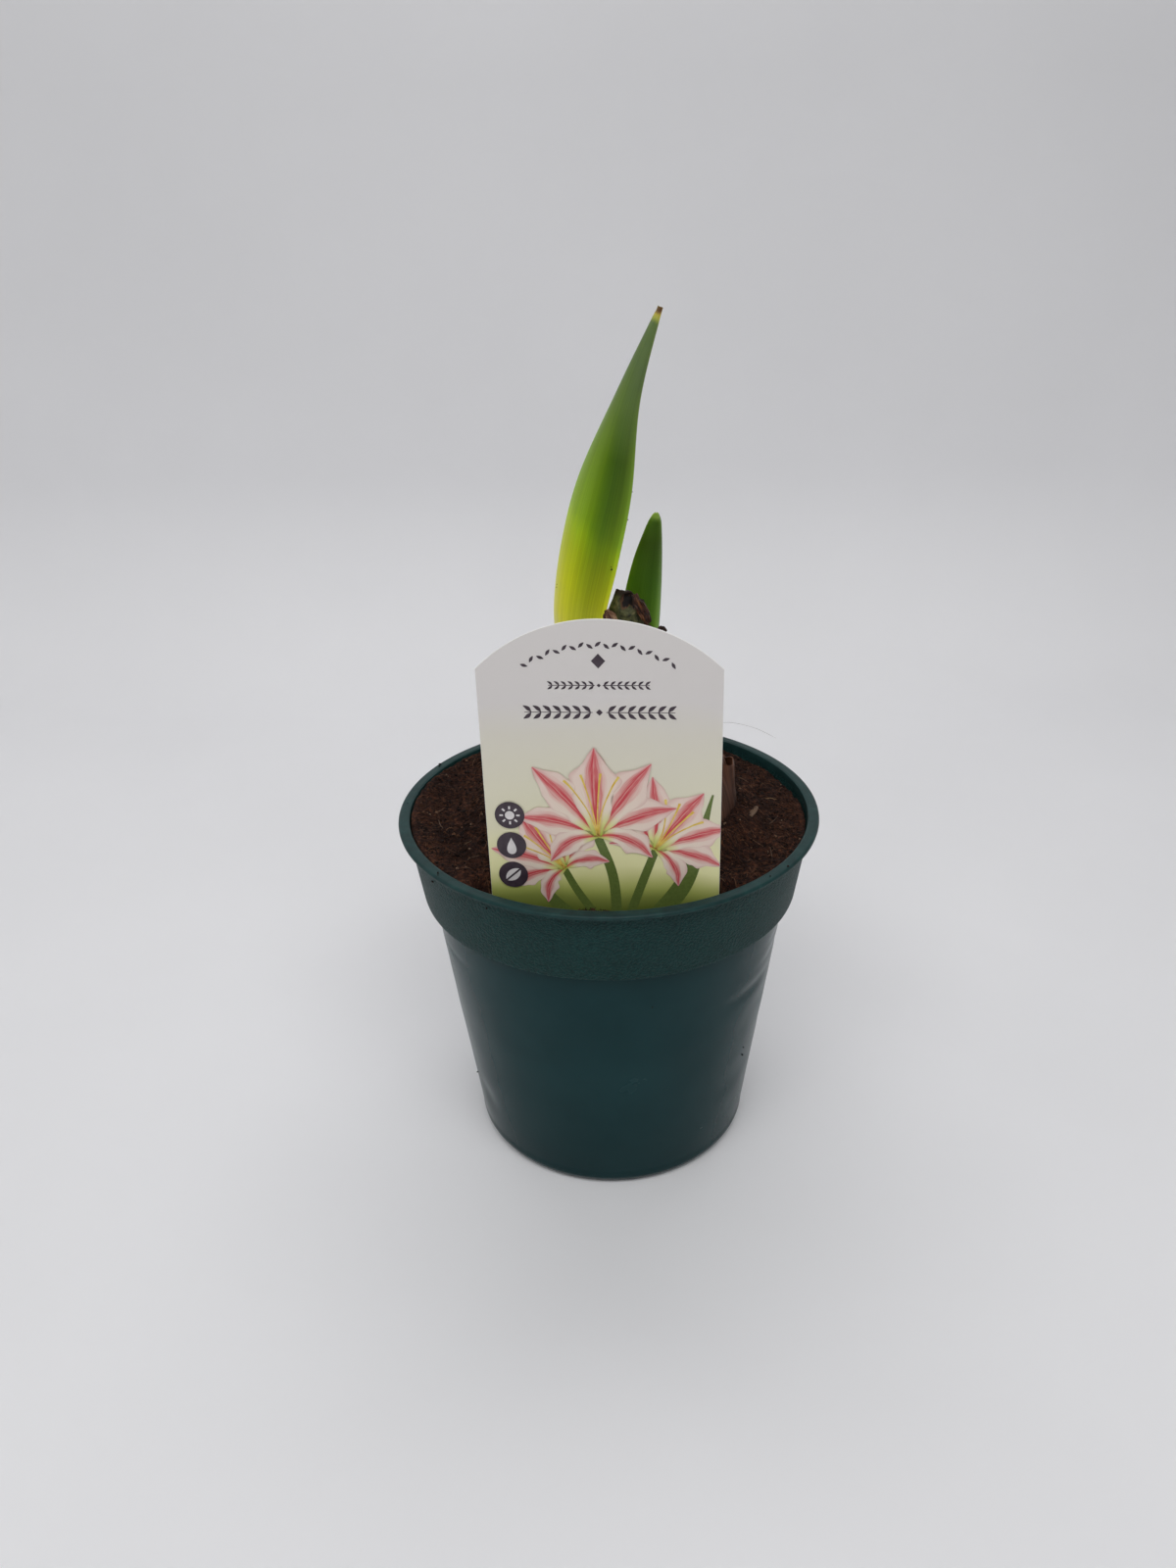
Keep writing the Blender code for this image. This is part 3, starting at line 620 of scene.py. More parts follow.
def tunic_material():
    # Dry tunic of a forced bulb: thin brown paper of dead scale, its fibres parallel and upright.
    # Pale and dark strands alternate every half millimetre or so. Its foot, by the peat, is made
    # nearly black: partly peat stain, partly painted shadow under the bulb's overhang
    material, tree, shader = start_material("bulb_tunic", 0.62, 1.45, 0.35)
    grain = node(tree, "Attribute", {"attribute_name": "grain"}).outputs["Vector"]
    upright = node(tree, "Mapping", {"Scale": (620, 620, 16)}, {"Vector": grain})
    fine = {"Scale": 1, "Detail": 4, "Roughness": 0.65}
    strands = node(tree, "TexNoise", fine, {"Vector": upright})
    broad = node(tree, "Mapping", {"Scale": (110, 110, 22)}, {"Vector": grain})
    bands = node(tree, "TexNoise", {"Scale": 1, "Detail": 3}, {"Vector": broad})
    both = node(tree, "Mix", {0: 0.45}, {2: strands, 3: bands})
    stops = [(0.34, "#20120C"), (0.46, "#482B1D"), (0.55, "#643F2B"), (0.68, "#896246")]
    tint = node(tree, "ValToRGB", {"stops": stops}, {"Fac": both})
    height = node(tree, "SeparateXYZ", {}, {0: grain}).outputs["Z"]
    # A nearly black foot: partly peat stain, partly painted shadow under the bulb's overhang
    blots = node(tree, "TexNoise", {"Scale": 160, "Detail": 5}, {"Vector": grain})
    lift = node(tree, "Math", {"operation": "MULTIPLY_ADD", 1: 0.016}, {0: blots, 2: height})
    stain_and_shadow = node(tree, "MapRange", {"range": (0.1430, 0.1462, 0.95, 0.0)}, {"Value": lift})
    stained_and_shaded = node(tree, "Mix", {"data_type": "RGBA", 7: colour("#1C100B")}, {0: stain_and_shadow, 6: tint})
    bump = node(tree, "Bump", {"Strength": 0.6, "Distance": 0.0003}, {"Height": strands})
    link(tree, shader, {"Base Color": stained_and_shaded, "Normal": bump})
    return material


def flesh_material():
    # Live inner scales of the bulb: pale green-white flesh that dries to tan at its cut edges
    stops = [(0.38, "#5B4A2C"), (0.50, "#8F8A4E"), (0.66, "#B9B77C")]
    return mottled("bulb_flesh", 0.45, 1.42, 0.4, {"Scale": 420, "Detail": 5}, stops)


def root_material():
    # Fresh amaryllis roots: cream, fleshy and matte, dulled by the peat around them
    stops = [(0.35, "#8C6A45"), (0.62, "#D8C7A0")]
    return mottled("root_flesh", 0.6, 1.42, 0.5, {"Scale": 300, "Detail": 4}, stops)


def bulb_core_profile():
    """Neck centre, over the inner scales, down inside the outer tunic to the basal plate."""
    cup = NECK_RIM - CUP_DEPTH
    scales = ((0.0068, 0.0082, 0.0016), (0.0098, 0.0112, 0.0026), (0.0128, 0.0148, 0.0030))
    points = [(0.0, cup)]
    for inner, outer, rise in scales:
        points += [(inner, cup), (inner + 0.0003, cup + rise)]
        points += [(outer - 0.0003, cup + rise + 0.0002), (outer, cup)]
    points += [(NECK_RADIUS_X - 0.0034, cup), (NECK_RADIUS_X - 0.0028, NECK_RIM - 0.0016)]
    points += [(NECK_RADIUS_X - 0.0012, NECK_RIM - 0.0010)]
    points += [(r - 0.0004, z) for r, z in bulb_side(90)[2:]]
    return [*points, (0.0, BULB_BOTTOM)]


def build_roots():
    """Fleshy roots that leave the basal plate, bend out and end above the pot's floor."""
    bm = bmesh.new()
    for i in range(ROOT_COUNT):
        away = polar(1, CIRCLE * i / ROOT_COUNT + 0.35 * math.sin(3.1 * i))
        across = Vector((-away.y, away.x, 0.0)) * 0.0040
        reach = 0.0400 * (0.80 + 0.20 * math.cos(2.3 * i))
        bends = [
            BULB_CENTRE + away * 0.0085 + UP * (BULB_BOTTOM + 0.0040),
            BULB_CENTRE + away * 0.0110 + UP * (BULB_BOTTOM - 0.0060),
            away * reach * 0.60 + across + UP * 0.0520,
            away * reach * 0.95 - across + UP * 0.0330,
            away * reach + across + UP * (0.0140 + 0.012 * abs(math.sin(1.7 * i))),
        ]
        radii = [0.0020 - 0.0010 * k / ROOT_STEPS for k in range(ROOT_STEPS + 1)]
        tube(bm, smooth_line(bends, ROOT_STEPS), radii, 10)
    roots = new_object("bulb_roots", bm)
    finish_piece(roots, [root_material()], 50)


def build_bulb():
    core = turned("bulb_core", bulb_core_profile(), 180)
    for vertex in core.data.vertices:
        co = vertex.co
        radius = math.hypot(co.x, co.y)
        if radius < MERGE:
            vertex.co = co + BULB_CENTRE + Vector((NECK_SHIFT if co.z > 0.15 else 0.0, 0, 0))
            continue
        angle = math.atan2(co.y, co.x)
        neck, oval = neck_shape(angle, co.z)
        wobble = 0.0006 * noise.noise(co / 0.006) * (co.z > 0.18)
        rise = 0.0009 * noise.noise(Vector((co.x, co.y, 0.0)) / 0.0035) if co.z > 0.1875 else 0.0
        place = polar(radius * oval + wobble, angle, co.z + rise)
        vertex.co = BULB_CENTRE + place + Vector((NECK_SHIFT * neck, 0.0, 0.0))
    skin = tunic_material()
    finish_piece(core, [skin, flesh_material()], 40)
    add_grain(core)
    for face in core.data.polygons:
        away = face.center - BULB_CENTRE
        if face.center.z > FLESH_FOOT and math.hypot(away.x - NECK_SHIFT, away.y) < FLESH_RADIUS:
            face.material_index = 1
    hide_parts("bulb")
    sheets = [
        tunic("tunic_inner", 2, 0.1600, 0.0002),
        tunic("tunic_middle", 1, 0.1300, 0.0007),
        tunic("tunic_outer", 0, 0.0950, 0.0012),
    ]
    for sheet in sheets:
        finish_piece(sheet, [skin], 50)
        add_grain(sheet)
    build_roots()


# Leaves: stations along the spine in millimetres (x, y, z, width and cup), the way the back faces
# in degrees, and edge, the share of its thickness that a blade keeps at its margins
BLADES = {
    "large_leaf": dict(
        stations=[
            (-10.3, -6.0, LEAF_FOOT, 16.5, 3.8),
            (-10.2, -6.2, 190.0, 19.5, 4.2),
            (-11.4, -6.5, 205.0, 20.0, 5.0),
            (-7.4, -6.8, 226.0, 22.0, 5.0),
            (-1.4, -6.2, 248.0, 19.8, 4.0),
            (6.9, -5.0, 274.0, 8.3, 2.2),
            (17.4, -3.6, 299.0, 0.8, 0.4),
        ],
        back=-125.0, thickness=0.0026, rows=150, columns=36,
    ),
    "young_leaf": dict(
        stations=[
            (11.8, 1.8, LEAF_FOOT, 11.0, 3.0),
            (13.2, 2.2, 188.0, 12.4, 3.5),
            (14.0, 3.6, 201.0, 14.5, 4.4),
            (15.7, 4.0, 219.0, 10.8, 3.6),
            (17.3, 4.2, 235.8, 3.2, 1.0),
        ],
        back=-62.0, thickness=0.0022, rows=120, columns=30, blunt=0.06,
    ),
    "old_leaf_base": dict(
        stations=[
            (7.6, -6.0, LEAF_FOOT, 12.0, 2.8),
            (7.6, -6.2, 190.0, 14.0, 3.2),
            (7.8, -6.0, 203.5, 13.4, 3.0),
            (8.4, -5.0, 212.5, 8.4, 1.8),
        ],
        back=-80.0, thickness=0.0028, rows=90, columns=40, edge=0.5,
    ),
    "withered_end": dict(
        stations=[
            (9.6, -6.6, 212.2, 1.6, 0.4),
            (10.8, -8.0, 209.8, 2.6, 0.7),
            (12.4, -7.8, 206.8, 3.1, 0.8),
            (13.6, -7.0, 204.0, 2.8, 0.6),
            (13.9, -6.4, 202.0, 1.0, 0.2),
        ],
        back=-66.0, thickness=0.0009, rows=90, columns=24, edge=0.9, ripple=0.0004, wrinkle=0.0007,
    ),
    "dry_scale": dict(
        stations=[
            (3.2, -8.8, 183.0, 7.0, 1.0),
            (2.8, -9.0, 196.0, 6.8, 1.2),
            (1.4, -9.2, 204.0, 5.2, 1.0),
            (0.2, -8.8, 207.9, 1.4, 0.4),
        ],
        back=-100.0, thickness=0.0008, rows=90, columns=30, edge=0.9, ripple=0.0003, wrinkle=0.0007,
    ),
    "neck_flake": dict(
        stations=[
            (14.2, 1.0, 188.0, 3.0, 0.4),
            (16.6, 0.0, 195.0, 2.2, 0.4),
            (18.7, -0.6, 198.6, 1.2, 0.2),
            (20.4, -1.0, 197.6, 0.3, 0.1),
        ],
        back=-70.0, thickness=0.0006, rows=60, columns=16, edge=0.9, wrinkle=0.0005,
    ),
}


def blade(name, stations, back, thickness, rows, columns, edge=0.45, ripple=0.0, wrinkle=0.0, blunt=0.0):
    """A channelled leaf: a grid laid along a spine, cupped away from its back, then given flesh.

    The UV map runs across the blade in U, from its left margin, and up it in V.
    """
    line = smooth_line([Vector(station[:3]) / 1000 for station in stations], rows)
    spread = smooth_values([station[3] / 1000 for station in stations], rows)
    deep = smooth_values([station[4] / 1000 for station in stations], rows)
    for i in range(rows + 1):
        past = (i / rows - 1 + blunt) / blunt if blunt else 0.0
        if past > 0:
            spread[i] *= math.sqrt(max(0.002, 1 - past**2))
    facing = polar(1, math.radians(back))
    take_none()
    bpy.ops.mesh.primitive_grid_add(x_subdivisions=columns, y_subdivisions=rows, size=2)
    leaf = bpy.context.object
    leaf.name = name
    flesh = leaf.vertex_groups.new(name="flesh")
    for vertex in leaf.data.vertices:
        s = vertex.co.x
        i = round((vertex.co.y + 1) / 2 * rows)
        ahead = (line[min(i + 1, rows)] - line[max(i - 1, 0)]).normalized()
        side = ahead.cross(facing).normalized()
        out = side.cross(ahead).normalized()
        wave = ripple * math.sin(2.6 * i * 9 / rows + 3.0 * s) * abs(s)
        crease = wrinkle * noise.noise(Vector((s * 5, i * 3.0 / rows, back)))
        vertex.co = line[i] + side * (s * spread[i] / 2) - out * (deep[i] * s * s + wave + crease)
        flesh.add([vertex.index], (1 - s**2) * min(1.0, 8 * (1 - i / rows)), "REPLACE")
    shell = thicken(leaf, thickness, 0.0)
    shell.vertex_group = "flesh"
    shell.thickness_vertex_group = edge
    return leaf


def leaf_material(name, gloss, sheen, slant, along, band, hold, tip, tip_range):
    """A waxy leaf, tinted up its length by along, and across by band, which paints shade and
    highlights across the blade as strongly as hold says up its length.

    tip gives the tint near its end, over the rest as tip_range rises. slant is how much further up
    its length the right margin's tint comes from.
    """
    # Live monocot leaf: a waxy cuticle over parallel veins a millimetre apart, which give it fine
    # lengthwise streaks and a soft sheen. Without chlorophyll at its foot it is yellow-green
    soft = {"Subsurface Weight": 0.5, "Subsurface Radius": (1.0, 1.0, 0.25), "Subsurface Scale": 0.003}
    material, tree, shader = start_material(name, gloss, 1.45, sheen, soft)
    across = node(tree, "UVMap")
    parts = node(tree, "SeparateXYZ", {}, {0: across}).outputs
    drift = node(tree, "Mapping", {"Scale": (9, 2.2, 1)}, {"Vector": across})
    cloud = node(tree, "TexNoise", {"Scale": 1, "Detail": 3}, {"Vector": drift})
    shifted = node(tree, "Math", {"operation": "MULTIPLY_ADD", 1: 0.06}, {0: cloud, 2: parts["Y"]})
    slanted = node(tree, "Math", {"operation": "MULTIPLY_ADD", 1: slant}, {0: parts["X"], 2: shifted})
    level = node(tree, "Math", {"operation": "SUBTRACT", 1: 0.03 + slant / 2}, {0: slanted})
    tint = node(tree, "ValToRGB", {"stops": along}, {"Fac": level})
    # band paints shade and highlights across the blade: painted shade in its dark band, painted highlights
    # at its pale margins
    shade = node(tree, "ValToRGB", {"stops": band}, {"Fac": parts["X"]})
    painted_shading_strength = node(tree, "ValToRGB", {"stops": hold}, {"Fac": parts["Y"]})
    multiply = {"data_type": "RGBA", "blend_type": "MULTIPLY"}
    with_painted_shading = node(tree, "Mix", multiply, {0: painted_shading_strength, 6: tint, 7: shade})
    streaked = node(tree, "Mapping", {"Scale": (58, 1.3, 1)}, {"Vector": across})
    fine = {"Scale": 1, "Detail": 3, "Roughness": 0.6}
    veins = node(tree, "TexNoise", fine, {"Vector": streaked})
    lines = node(tree, "MapRange", {"range": (0.3, 0.7, 0.84, 1.12)}, {"Value": veins})
    lined = node(tree, "Mix", {**multiply, 0: 1.0}, {6: with_painted_shading, 7: lines})
    frayed = node(tree, "Math", {"operation": "MULTIPLY_ADD", 1: 0.012}, {0: veins, 2: parts["Y"]})
    dry = node(tree, "ValToRGB", {"stops": tip}, {"Fac": frayed})
    share = node(tree, "MapRange", {"range": (tip_range[0], tip_range[1], 0.0, 1.0)}, {"Value": frayed})
    ended = node(tree, "Mix", {"data_type": "RGBA"}, {0: share, 6: lined, 7: dry})
    bump = node(tree, "Bump", {"Strength": 0.35, "Distance": 0.0002}, {"Height": veins})
    link(tree, shader, {"Base Color": ended, "Normal": bump})
    return material


def large_leaf_material():
    # Grown in the dark and then in light: lime and yellow at its foot and dull green above, with a
    # dried brown tip. Across it, a painted shade darkens it right of its channel and painted highlights
    # pale its margins
    along = [
        (0.20, "#F0EC7A"), (0.32, "#EBE64C"), (0.42, "#DBDE2C"), (0.50, "#C2D028"),
        (0.545, "#B2CE2A"), (0.58, "#98BA34"), (0.64, "#8AAC3A"), (0.72, "#7A9A3C"),
        (0.80, "#6C8642"), (0.90, "#627648"),
    ]
    # Painted shade right of the channel and painted highlights at both margins
    band = [
        (0.02, "#FFFFFF"), (0.20, "#F2F2B8"), (0.38, "#E8EC8C"), (0.50, "#C8D25A"),
        (0.61, "#98AC30"), (0.73, "#769020"), (0.86, "#84942C"), (0.94, "#C4CC84"),
        (0.99, "#F8FAE0"),
    ]
    hold = [(0.30, "#B6B6B6"), (0.44, "#D4D4D4"), (0.60, "#F0F0F0"), (0.72, "#F4F4F4")]
    hold += [(0.82, "#909090"), (0.90, "#383838")]
    tip = [(0.982, "#A4AC50"), (0.992, "#B4A84C"), (0.997, "#7E5A38"), (1.0, "#5A3C2A")]
    return leaf_material("large_leaf_skin", 0.36, 0.20, 0.07, along, band, hold, tip, (0.976, 0.986))


def young_leaf_material():
    # Younger, and all of it grown in light: dark green and paler at its tip. Across it, a painted
    # highlight pales it right of its channel and at its left margin, over a painted shade left of its
    # middle
    along = [(0.30, "#86AE3A"), (0.50, "#72A02F"), (0.66, "#5E882A"), (0.86, "#526F26"), (0.96, "#5C7E2C")]
    # Painted highlight right of the channel and at the left margin, painted shade left of the middle
    band = [
        (0.02, "#E6E8A4"), (0.10, "#C0C890"), (0.25, "#B6BC88"), (0.46, "#92A054"),
        (0.62, "#B4C068"), (0.76, "#FFFFAC"), (0.90, "#FFFFE4"), (0.99, "#B0BC80"),
    ]
    hold = [(0.30, "#FFFFFF"), (0.97, "#E0E0E0")]
    tip = [(0.978, "#6C8C34"), (0.99, "#809C42")]
    return leaf_material("young_leaf_skin", 0.44, 0.12, 0.0, along, band, hold, tip, (0.966, 0.990))


def old_leaf_material():
    # Torn stump of an older leaf: dull grey-green skin with black rot spots, tan round its wound and
    # nearly black inside it, and nearly black along its dried upper edge
    material, tree, shader = start_material("old_leaf_skin", 0.60, 1.45, 0.35)
    across = node(tree, "UVMap")
    place = node(tree, "TexCoord").outputs["Object"]
    spots = node(tree, "TexNoise", {"Scale": 700, "Detail": 4}, {"Vector": place})
    skin = [(0.32, "#1A180C"), (0.42, "#393C20"), (0.58, "#4E4F2E"), (0.72, "#6A623E")]
    tint = node(tree, "ValToRGB", {"stops": skin}, {"Fac": spots})
    warp = node(tree, "TexNoise", {"Scale": 9, "Detail": 4}, {"Vector": across}).outputs["Color"]
    moved = node(tree, "Mix", {"data_type": "VECTOR", 0: 0.22}, {4: across, 5: warp})
    squeezed = node(tree, "Mapping", {"Scale": (1, 2.4, 1)}, {"Vector": moved})
    centre = {"operation": "DISTANCE", 1: (0.50, 1.958, 0.10)}
    wound = node(tree, "VectorMath", centre, {0: squeezed})
    hole = [(0.0, "#070404"), (0.175, "#100A08"), (0.205, "#5A3A24"), (0.25, "#44462A")]
    ring = node(tree, "ValToRGB", {"stops": hole}, {"Fac": wound})
    near = node(tree, "MapRange", {"range": (0.22, 0.26, 1.0, 0.0)}, {"Value": wound})
    toned = node(tree, "Mix", {"data_type": "RGBA"}, {0: near, 6: tint, 7: ring})
    height = node(tree, "SeparateXYZ", {}, {0: across}).outputs["Y"]
    torn = node(tree, "MapRange", {"range": (0.915, 0.955, 0.0, 1.0)}, {"Value": height})
    edged = node(tree, "Mix", {"data_type": "RGBA", 7: colour("#24160E")}, {0: torn, 6: toned})
    bump = node(tree, "Bump", {"Strength": 0.5, "Distance": 0.0003}, {"Height": spots})
    link(tree, shader, {"Base Color": edged, "Normal": bump})
    return material


def withered_material(name, stops):
    # Dead leaf tissue: reddish brown, papery and creased lengthwise. Its colour pales to tan where the
    # same noise raises the folds: partly its own tan streaks, partly painted highlights on their crests
    material, tree, shader = start_material(name, 0.55, 1.45, 0.4)
    along = node(tree, "Mapping", {"Scale": (11, 2.2, 1)}, {"Vector": node(tree, "UVMap")})
    fine = {"Scale": 1, "Detail": 4, "Roughness": 0.6}
    folds = node(tree, "TexNoise", fine, {"Vector": along})
    # Tan where the folds rise: painted highlights on the crests as well as the tissue's own streaks
    tint = node(tree, "ValToRGB", {"stops": stops}, {"Fac": folds})
    bump = node(tree, "Bump", {"Strength": 0.8, "Distance": 0.0006}, {"Height": folds})
    link(tree, shader, {"Base Color": tint, "Normal": bump})
    return material


def shape_stump(leaf):
    """Slopes and rags the old leaf's torn edge, and sinks the dark wound in its outer face."""
    for vertex in leaf.data.vertices:
        co = vertex.co
        high = ramp((co.z - 0.2060) / 0.0065)
        co.z += high * (0.0006 - 0.0032 * ramp((co.x - 0.0074) / 0.0048))
        co.z += 0.0006 * high * noise.noise(Vector((co.x * 900, co.y * 300, 3.0)))
        hollow = math.hypot(co.x - WOUND_X, (co.z - WOUND_HEIGHT) * 0.85)
        if co.y < -0.0060:
            co.y += 0.0017 * ramp(1.25 - hollow / WOUND_RADIUS)
            co.y -= 0.0004 * ramp(1 - abs(hollow - WOUND_RADIUS - 0.0003) / 0.0007)
            co.y += 0.0003 * noise.noise(Vector((co.x * 420, 1.0, co.z * 260)))


def rag_tip(leaf):
    """Splits and frays the large leaf's dry tip."""
    top = max(vertex.co.z for vertex in leaf.data.vertices)
    for vertex in leaf.data.vertices:
        co = vertex.co
        near = ramp((co.z - top + TIP_FRAY) / TIP_FRAY)
        co.z -= near * 0.0022 * abs(noise.noise(Vector((co.x * 2300, co.y * 1200, 5.0))))
        co.x += near * 0.0002 * noise.noise(Vector((co.x * 900, 2.0, co.z * 900)))


def build_leaves():
    scale = [(0.34, "#1A0E0A"), (0.45, "#4A2C20"), (0.55, "#6E4C37"), (0.68, "#A08462")]
    end = [(0.36, "#0C0503"), (0.46, "#2C150B"), (0.55, "#4C2A17"), (0.63, "#744A2A"), (0.72, "#A88558")]
    paper = [(0.36, "#120A07"), (0.50, "#2C1A12"), (0.64, "#4A3022")]
    skins = {
        "large_leaf": large_leaf_material(),
        "young_leaf": young_leaf_material(),
        "old_leaf_base": old_leaf_material(),
        "dry_scale": withered_material("dried_scale", scale),
        "withered_end": withered_material("withered_leaf", end),
        "neck_flake": withered_material("neck_paper", paper),
    }
    for name, shape in BLADES.items():
        leaf = blade(f"{name}_blade", **shape)
        finish_piece(leaf, [skins[name]], 60)
        if name == "old_leaf_base":
            shape_stump(leaf)
        if name == "large_leaf":
            rag_tip(leaf)
        if name not in ("withered_end", "neck_flake"):
            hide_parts(name)


# Peat


def soil_level(x, y):
    """Broad peat level at a place, as in the frame: heaped by the bulb, hollow along the wall."""
    across = x - LABEL_CENTRE.x
    ahead = LABEL_CENTRE.y + across * math.tan(LABEL_TURN) - y
    beside = ramp((0.0400 - abs(across)) / 0.0040 + 1)
    trough = 0.0092 * beside * ramp(1 + ahead / 0.0070)
    angle = math.atan2(y, x)
    clods = noise.noise(Vector((x, y, 0.0)) * 75)
    fine = noise.noise(Vector((x, y, 0.0)) * 210)
    from_bulb = math.hypot(x - BULB_CENTRE.x, y - BULB_CENTRE.y) - BULB_WIDEST
    front = max(0.0, math.cos(angle - math.radians(-38))) ** 2
    heap = ramp(1 - from_bulb / 0.0140) * (0.0030 + 0.0042 * front)
    at_wall = max(0.0, (math.hypot(x, y) - 0.0600) / 0.0100)
    hollow = 0.0022 * at_wall * max(0.0, math.cos(angle - math.radians(22))) ** 3
    bank = 0.0019 * ramp(at_wall) * max(0.0, math.cos(angle - math.radians(178))) ** 1.4
    return SOIL_LEVEL + heap + bank - hollow - trough + 0.0008 * (clods + 0.8 * fine)


def soil_top(x, y):
    """The peat's surface with its crumbs and tangled fibres."""
    lumps = noise.noise(Vector((x, y, 0.01)) * 430)
    crumbs = noise.noise(Vector((x, y, 0.02)) * 900)
    tangle = abs(noise.noise(Vector((x, y * 0.6, 0.03)) * 700))
    return soil_level(x, y) + 0.0006 * lumps + 0.0004 * crumbs - 0.0005 * tangle


# The peat's outer side as (radius, height), a hair inside the pot's wall
SOIL_SIDE = [
    (BASE_RADIUS - WALL - 0.0003, FLOOR_TOP + 0.0020),
    (WALL_TOP_RADIUS - WALL - 0.0003, COLLAR_FOOT - 0.0016),
    (COLLAR_BOTTOM_RADIUS - WALL - 0.0003, COLLAR_FOOT + 0.0010),
    (COLLAR_TOP_RADIUS - WALL - 0.0004, POT_HEIGHT - RIM_LIP - WALL),
    (RIM_INNER_RADIUS - 0.0003, POT_HEIGHT - 0.0006),
]


def soil_material():
    # Moist sphagnum peat with coir: nearly black crumbs and warm brown fibres, quite matte, lighter
    # where a strand has dried
    material, tree, shader = start_material("moist_peat", 0.92, 1.45, 0.25)
    place = node(tree, "TexCoord").outputs["Object"]
    fine = node(tree, "TexNoise", {"Scale": 850, "Detail": 5, "Roughness": 0.7}, {"Vector": place})
    broad = node(tree, "TexNoise", {"Scale": 90, "Detail": 3}, {"Vector": place})
    both = node(tree, "Mix", {0: 0.30}, {2: fine, 3: broad})
    stops = [(0.36, "#0D0605"), (0.47, "#26130D"), (0.57, "#472819"), (0.70, "#764C34")]
    tint = node(tree, "ValToRGB", {"stops": stops}, {"Fac": both})
    bump = node(tree, "Bump", {"Strength": 0.9, "Distance": 0.0008}, {"Height": fine})
    link(tree, shader, {"Base Color": tint, "Normal": bump})
    return material


def build_soil():
    """The peat as one body: its surface, down the pot's wall, over its floor and up to the bulb."""
    bm = bmesh.new()
    turns = [CIRCLE * step / SOIL_STEPS for step in range(SOIL_STEPS)]
    rings = []
    for ring_index in range(SOIL_RINGS + 1):
        share = ring_index / SOIL_RINGS
        ring = []
        for angle in turns:
            inner = bulb_place(angle, SOIL_LEVEL + 0.002, 0.0010)
            place = inner.lerp(polar(RIM_INNER_RADIUS - 0.0003, angle), share)
            height = soil_top(place.x, place.y) - 0.0010 * ramp((share - 0.985) / 0.015)
            spot = held_within(place.x, place.y, along_points(SOIL_SIDE, height))
            ring.append(bm.verts.new((*spot, height)))
        rings.append(ring)
    for height in SOIL_WALL_HEIGHTS:
        radius = along_points(SOIL_SIDE, height)
        rings.append([bm.verts.new(polar(radius, a, height)) for a in turns])
    underside = FLOOR_TOP + 0.0003
    rings.append([bm.verts.new(polar(BASE_RADIUS - WALL - 0.0022, a, underside)) for a in turns])
    join_rings(bm, rings)
    floor = bm.verts.new((0.0, 0.0, underside))
    bulb_side_rings = [
        [bm.verts.new(bulb_place(a, height, SOIL_BULB_GAP)) for a in turns] for height in SOIL_BULB_HEIGHTS
    ]
    join_rings(bm, [*bulb_side_rings[::-1], rings[0]])
    bottom = bm.verts.new(BULB_CENTRE + UP * (BULB_BOTTOM - 0.0004))
    for i in range(SOIL_STEPS):
        j = (i + 1) % SOIL_STEPS
        bm.faces.new((rings[-1][i], rings[-1][j], floor))
        bm.faces.new((bulb_side_rings[-1][j], bulb_side_rings[-1][i], bottom))
    soil = new_object("peat_body", bm)
    finish_piece(soil, [soil_material()], 80)
    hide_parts("soil")


def scatter_material(name, stops):
    # Loose peat: the same moist stuff, each bit between nearly black and dried tan as its own
    # "shade" says
    material, tree, shader = start_material(name, 0.85, 1.45, 0.3)
    shade = node(tree, "Attribute", {"attribute_name": "shade"}).outputs["Fac"]
    place = node(tree, "TexCoord").outputs["Object"]
    spots = node(tree, "TexNoise", {"Scale": 1600, "Detail": 2}, {"Vector": place})
    mixed = node(tree, "Math", {"operation": "MULTIPLY_ADD", 1: 0.25}, {0: spots, 2: shade})
    link(tree, shader, {"Base Color": node(tree, "ValToRGB", {"stops": stops}, {"Fac": mixed})})
    return material


def soil_spot(rng, margin):
    """A random place on the peat, clear of the bulb and of the wall by margin."""
    while True:
        x = rng.uniform(-0.070, 0.070)
        y = rng.uniform(-0.070, 0.070)
        from_bulb = math.hypot(x - BULB_CENTRE.x, y - BULB_CENTRE.y)
        if math.hypot(x, y) <= RIM_INNER_RADIUS - margin and from_bulb >= BULB_WIDEST + 0.0008:
            return x, y


def finish_bits(name, bm, shades, material, degrees):
    """Makes loose bits one piece. shades holds each bit's shade and the number of its vertices."""
    bits = new_object(name, bm)
    layer = bits.data.attributes.new("shade", "FLOAT", "POINT")
    layer.data.foreach_set("value", [value for value, count in shades for _ in range(count)])
    finish_piece(bits, [material], degrees)
    return bits


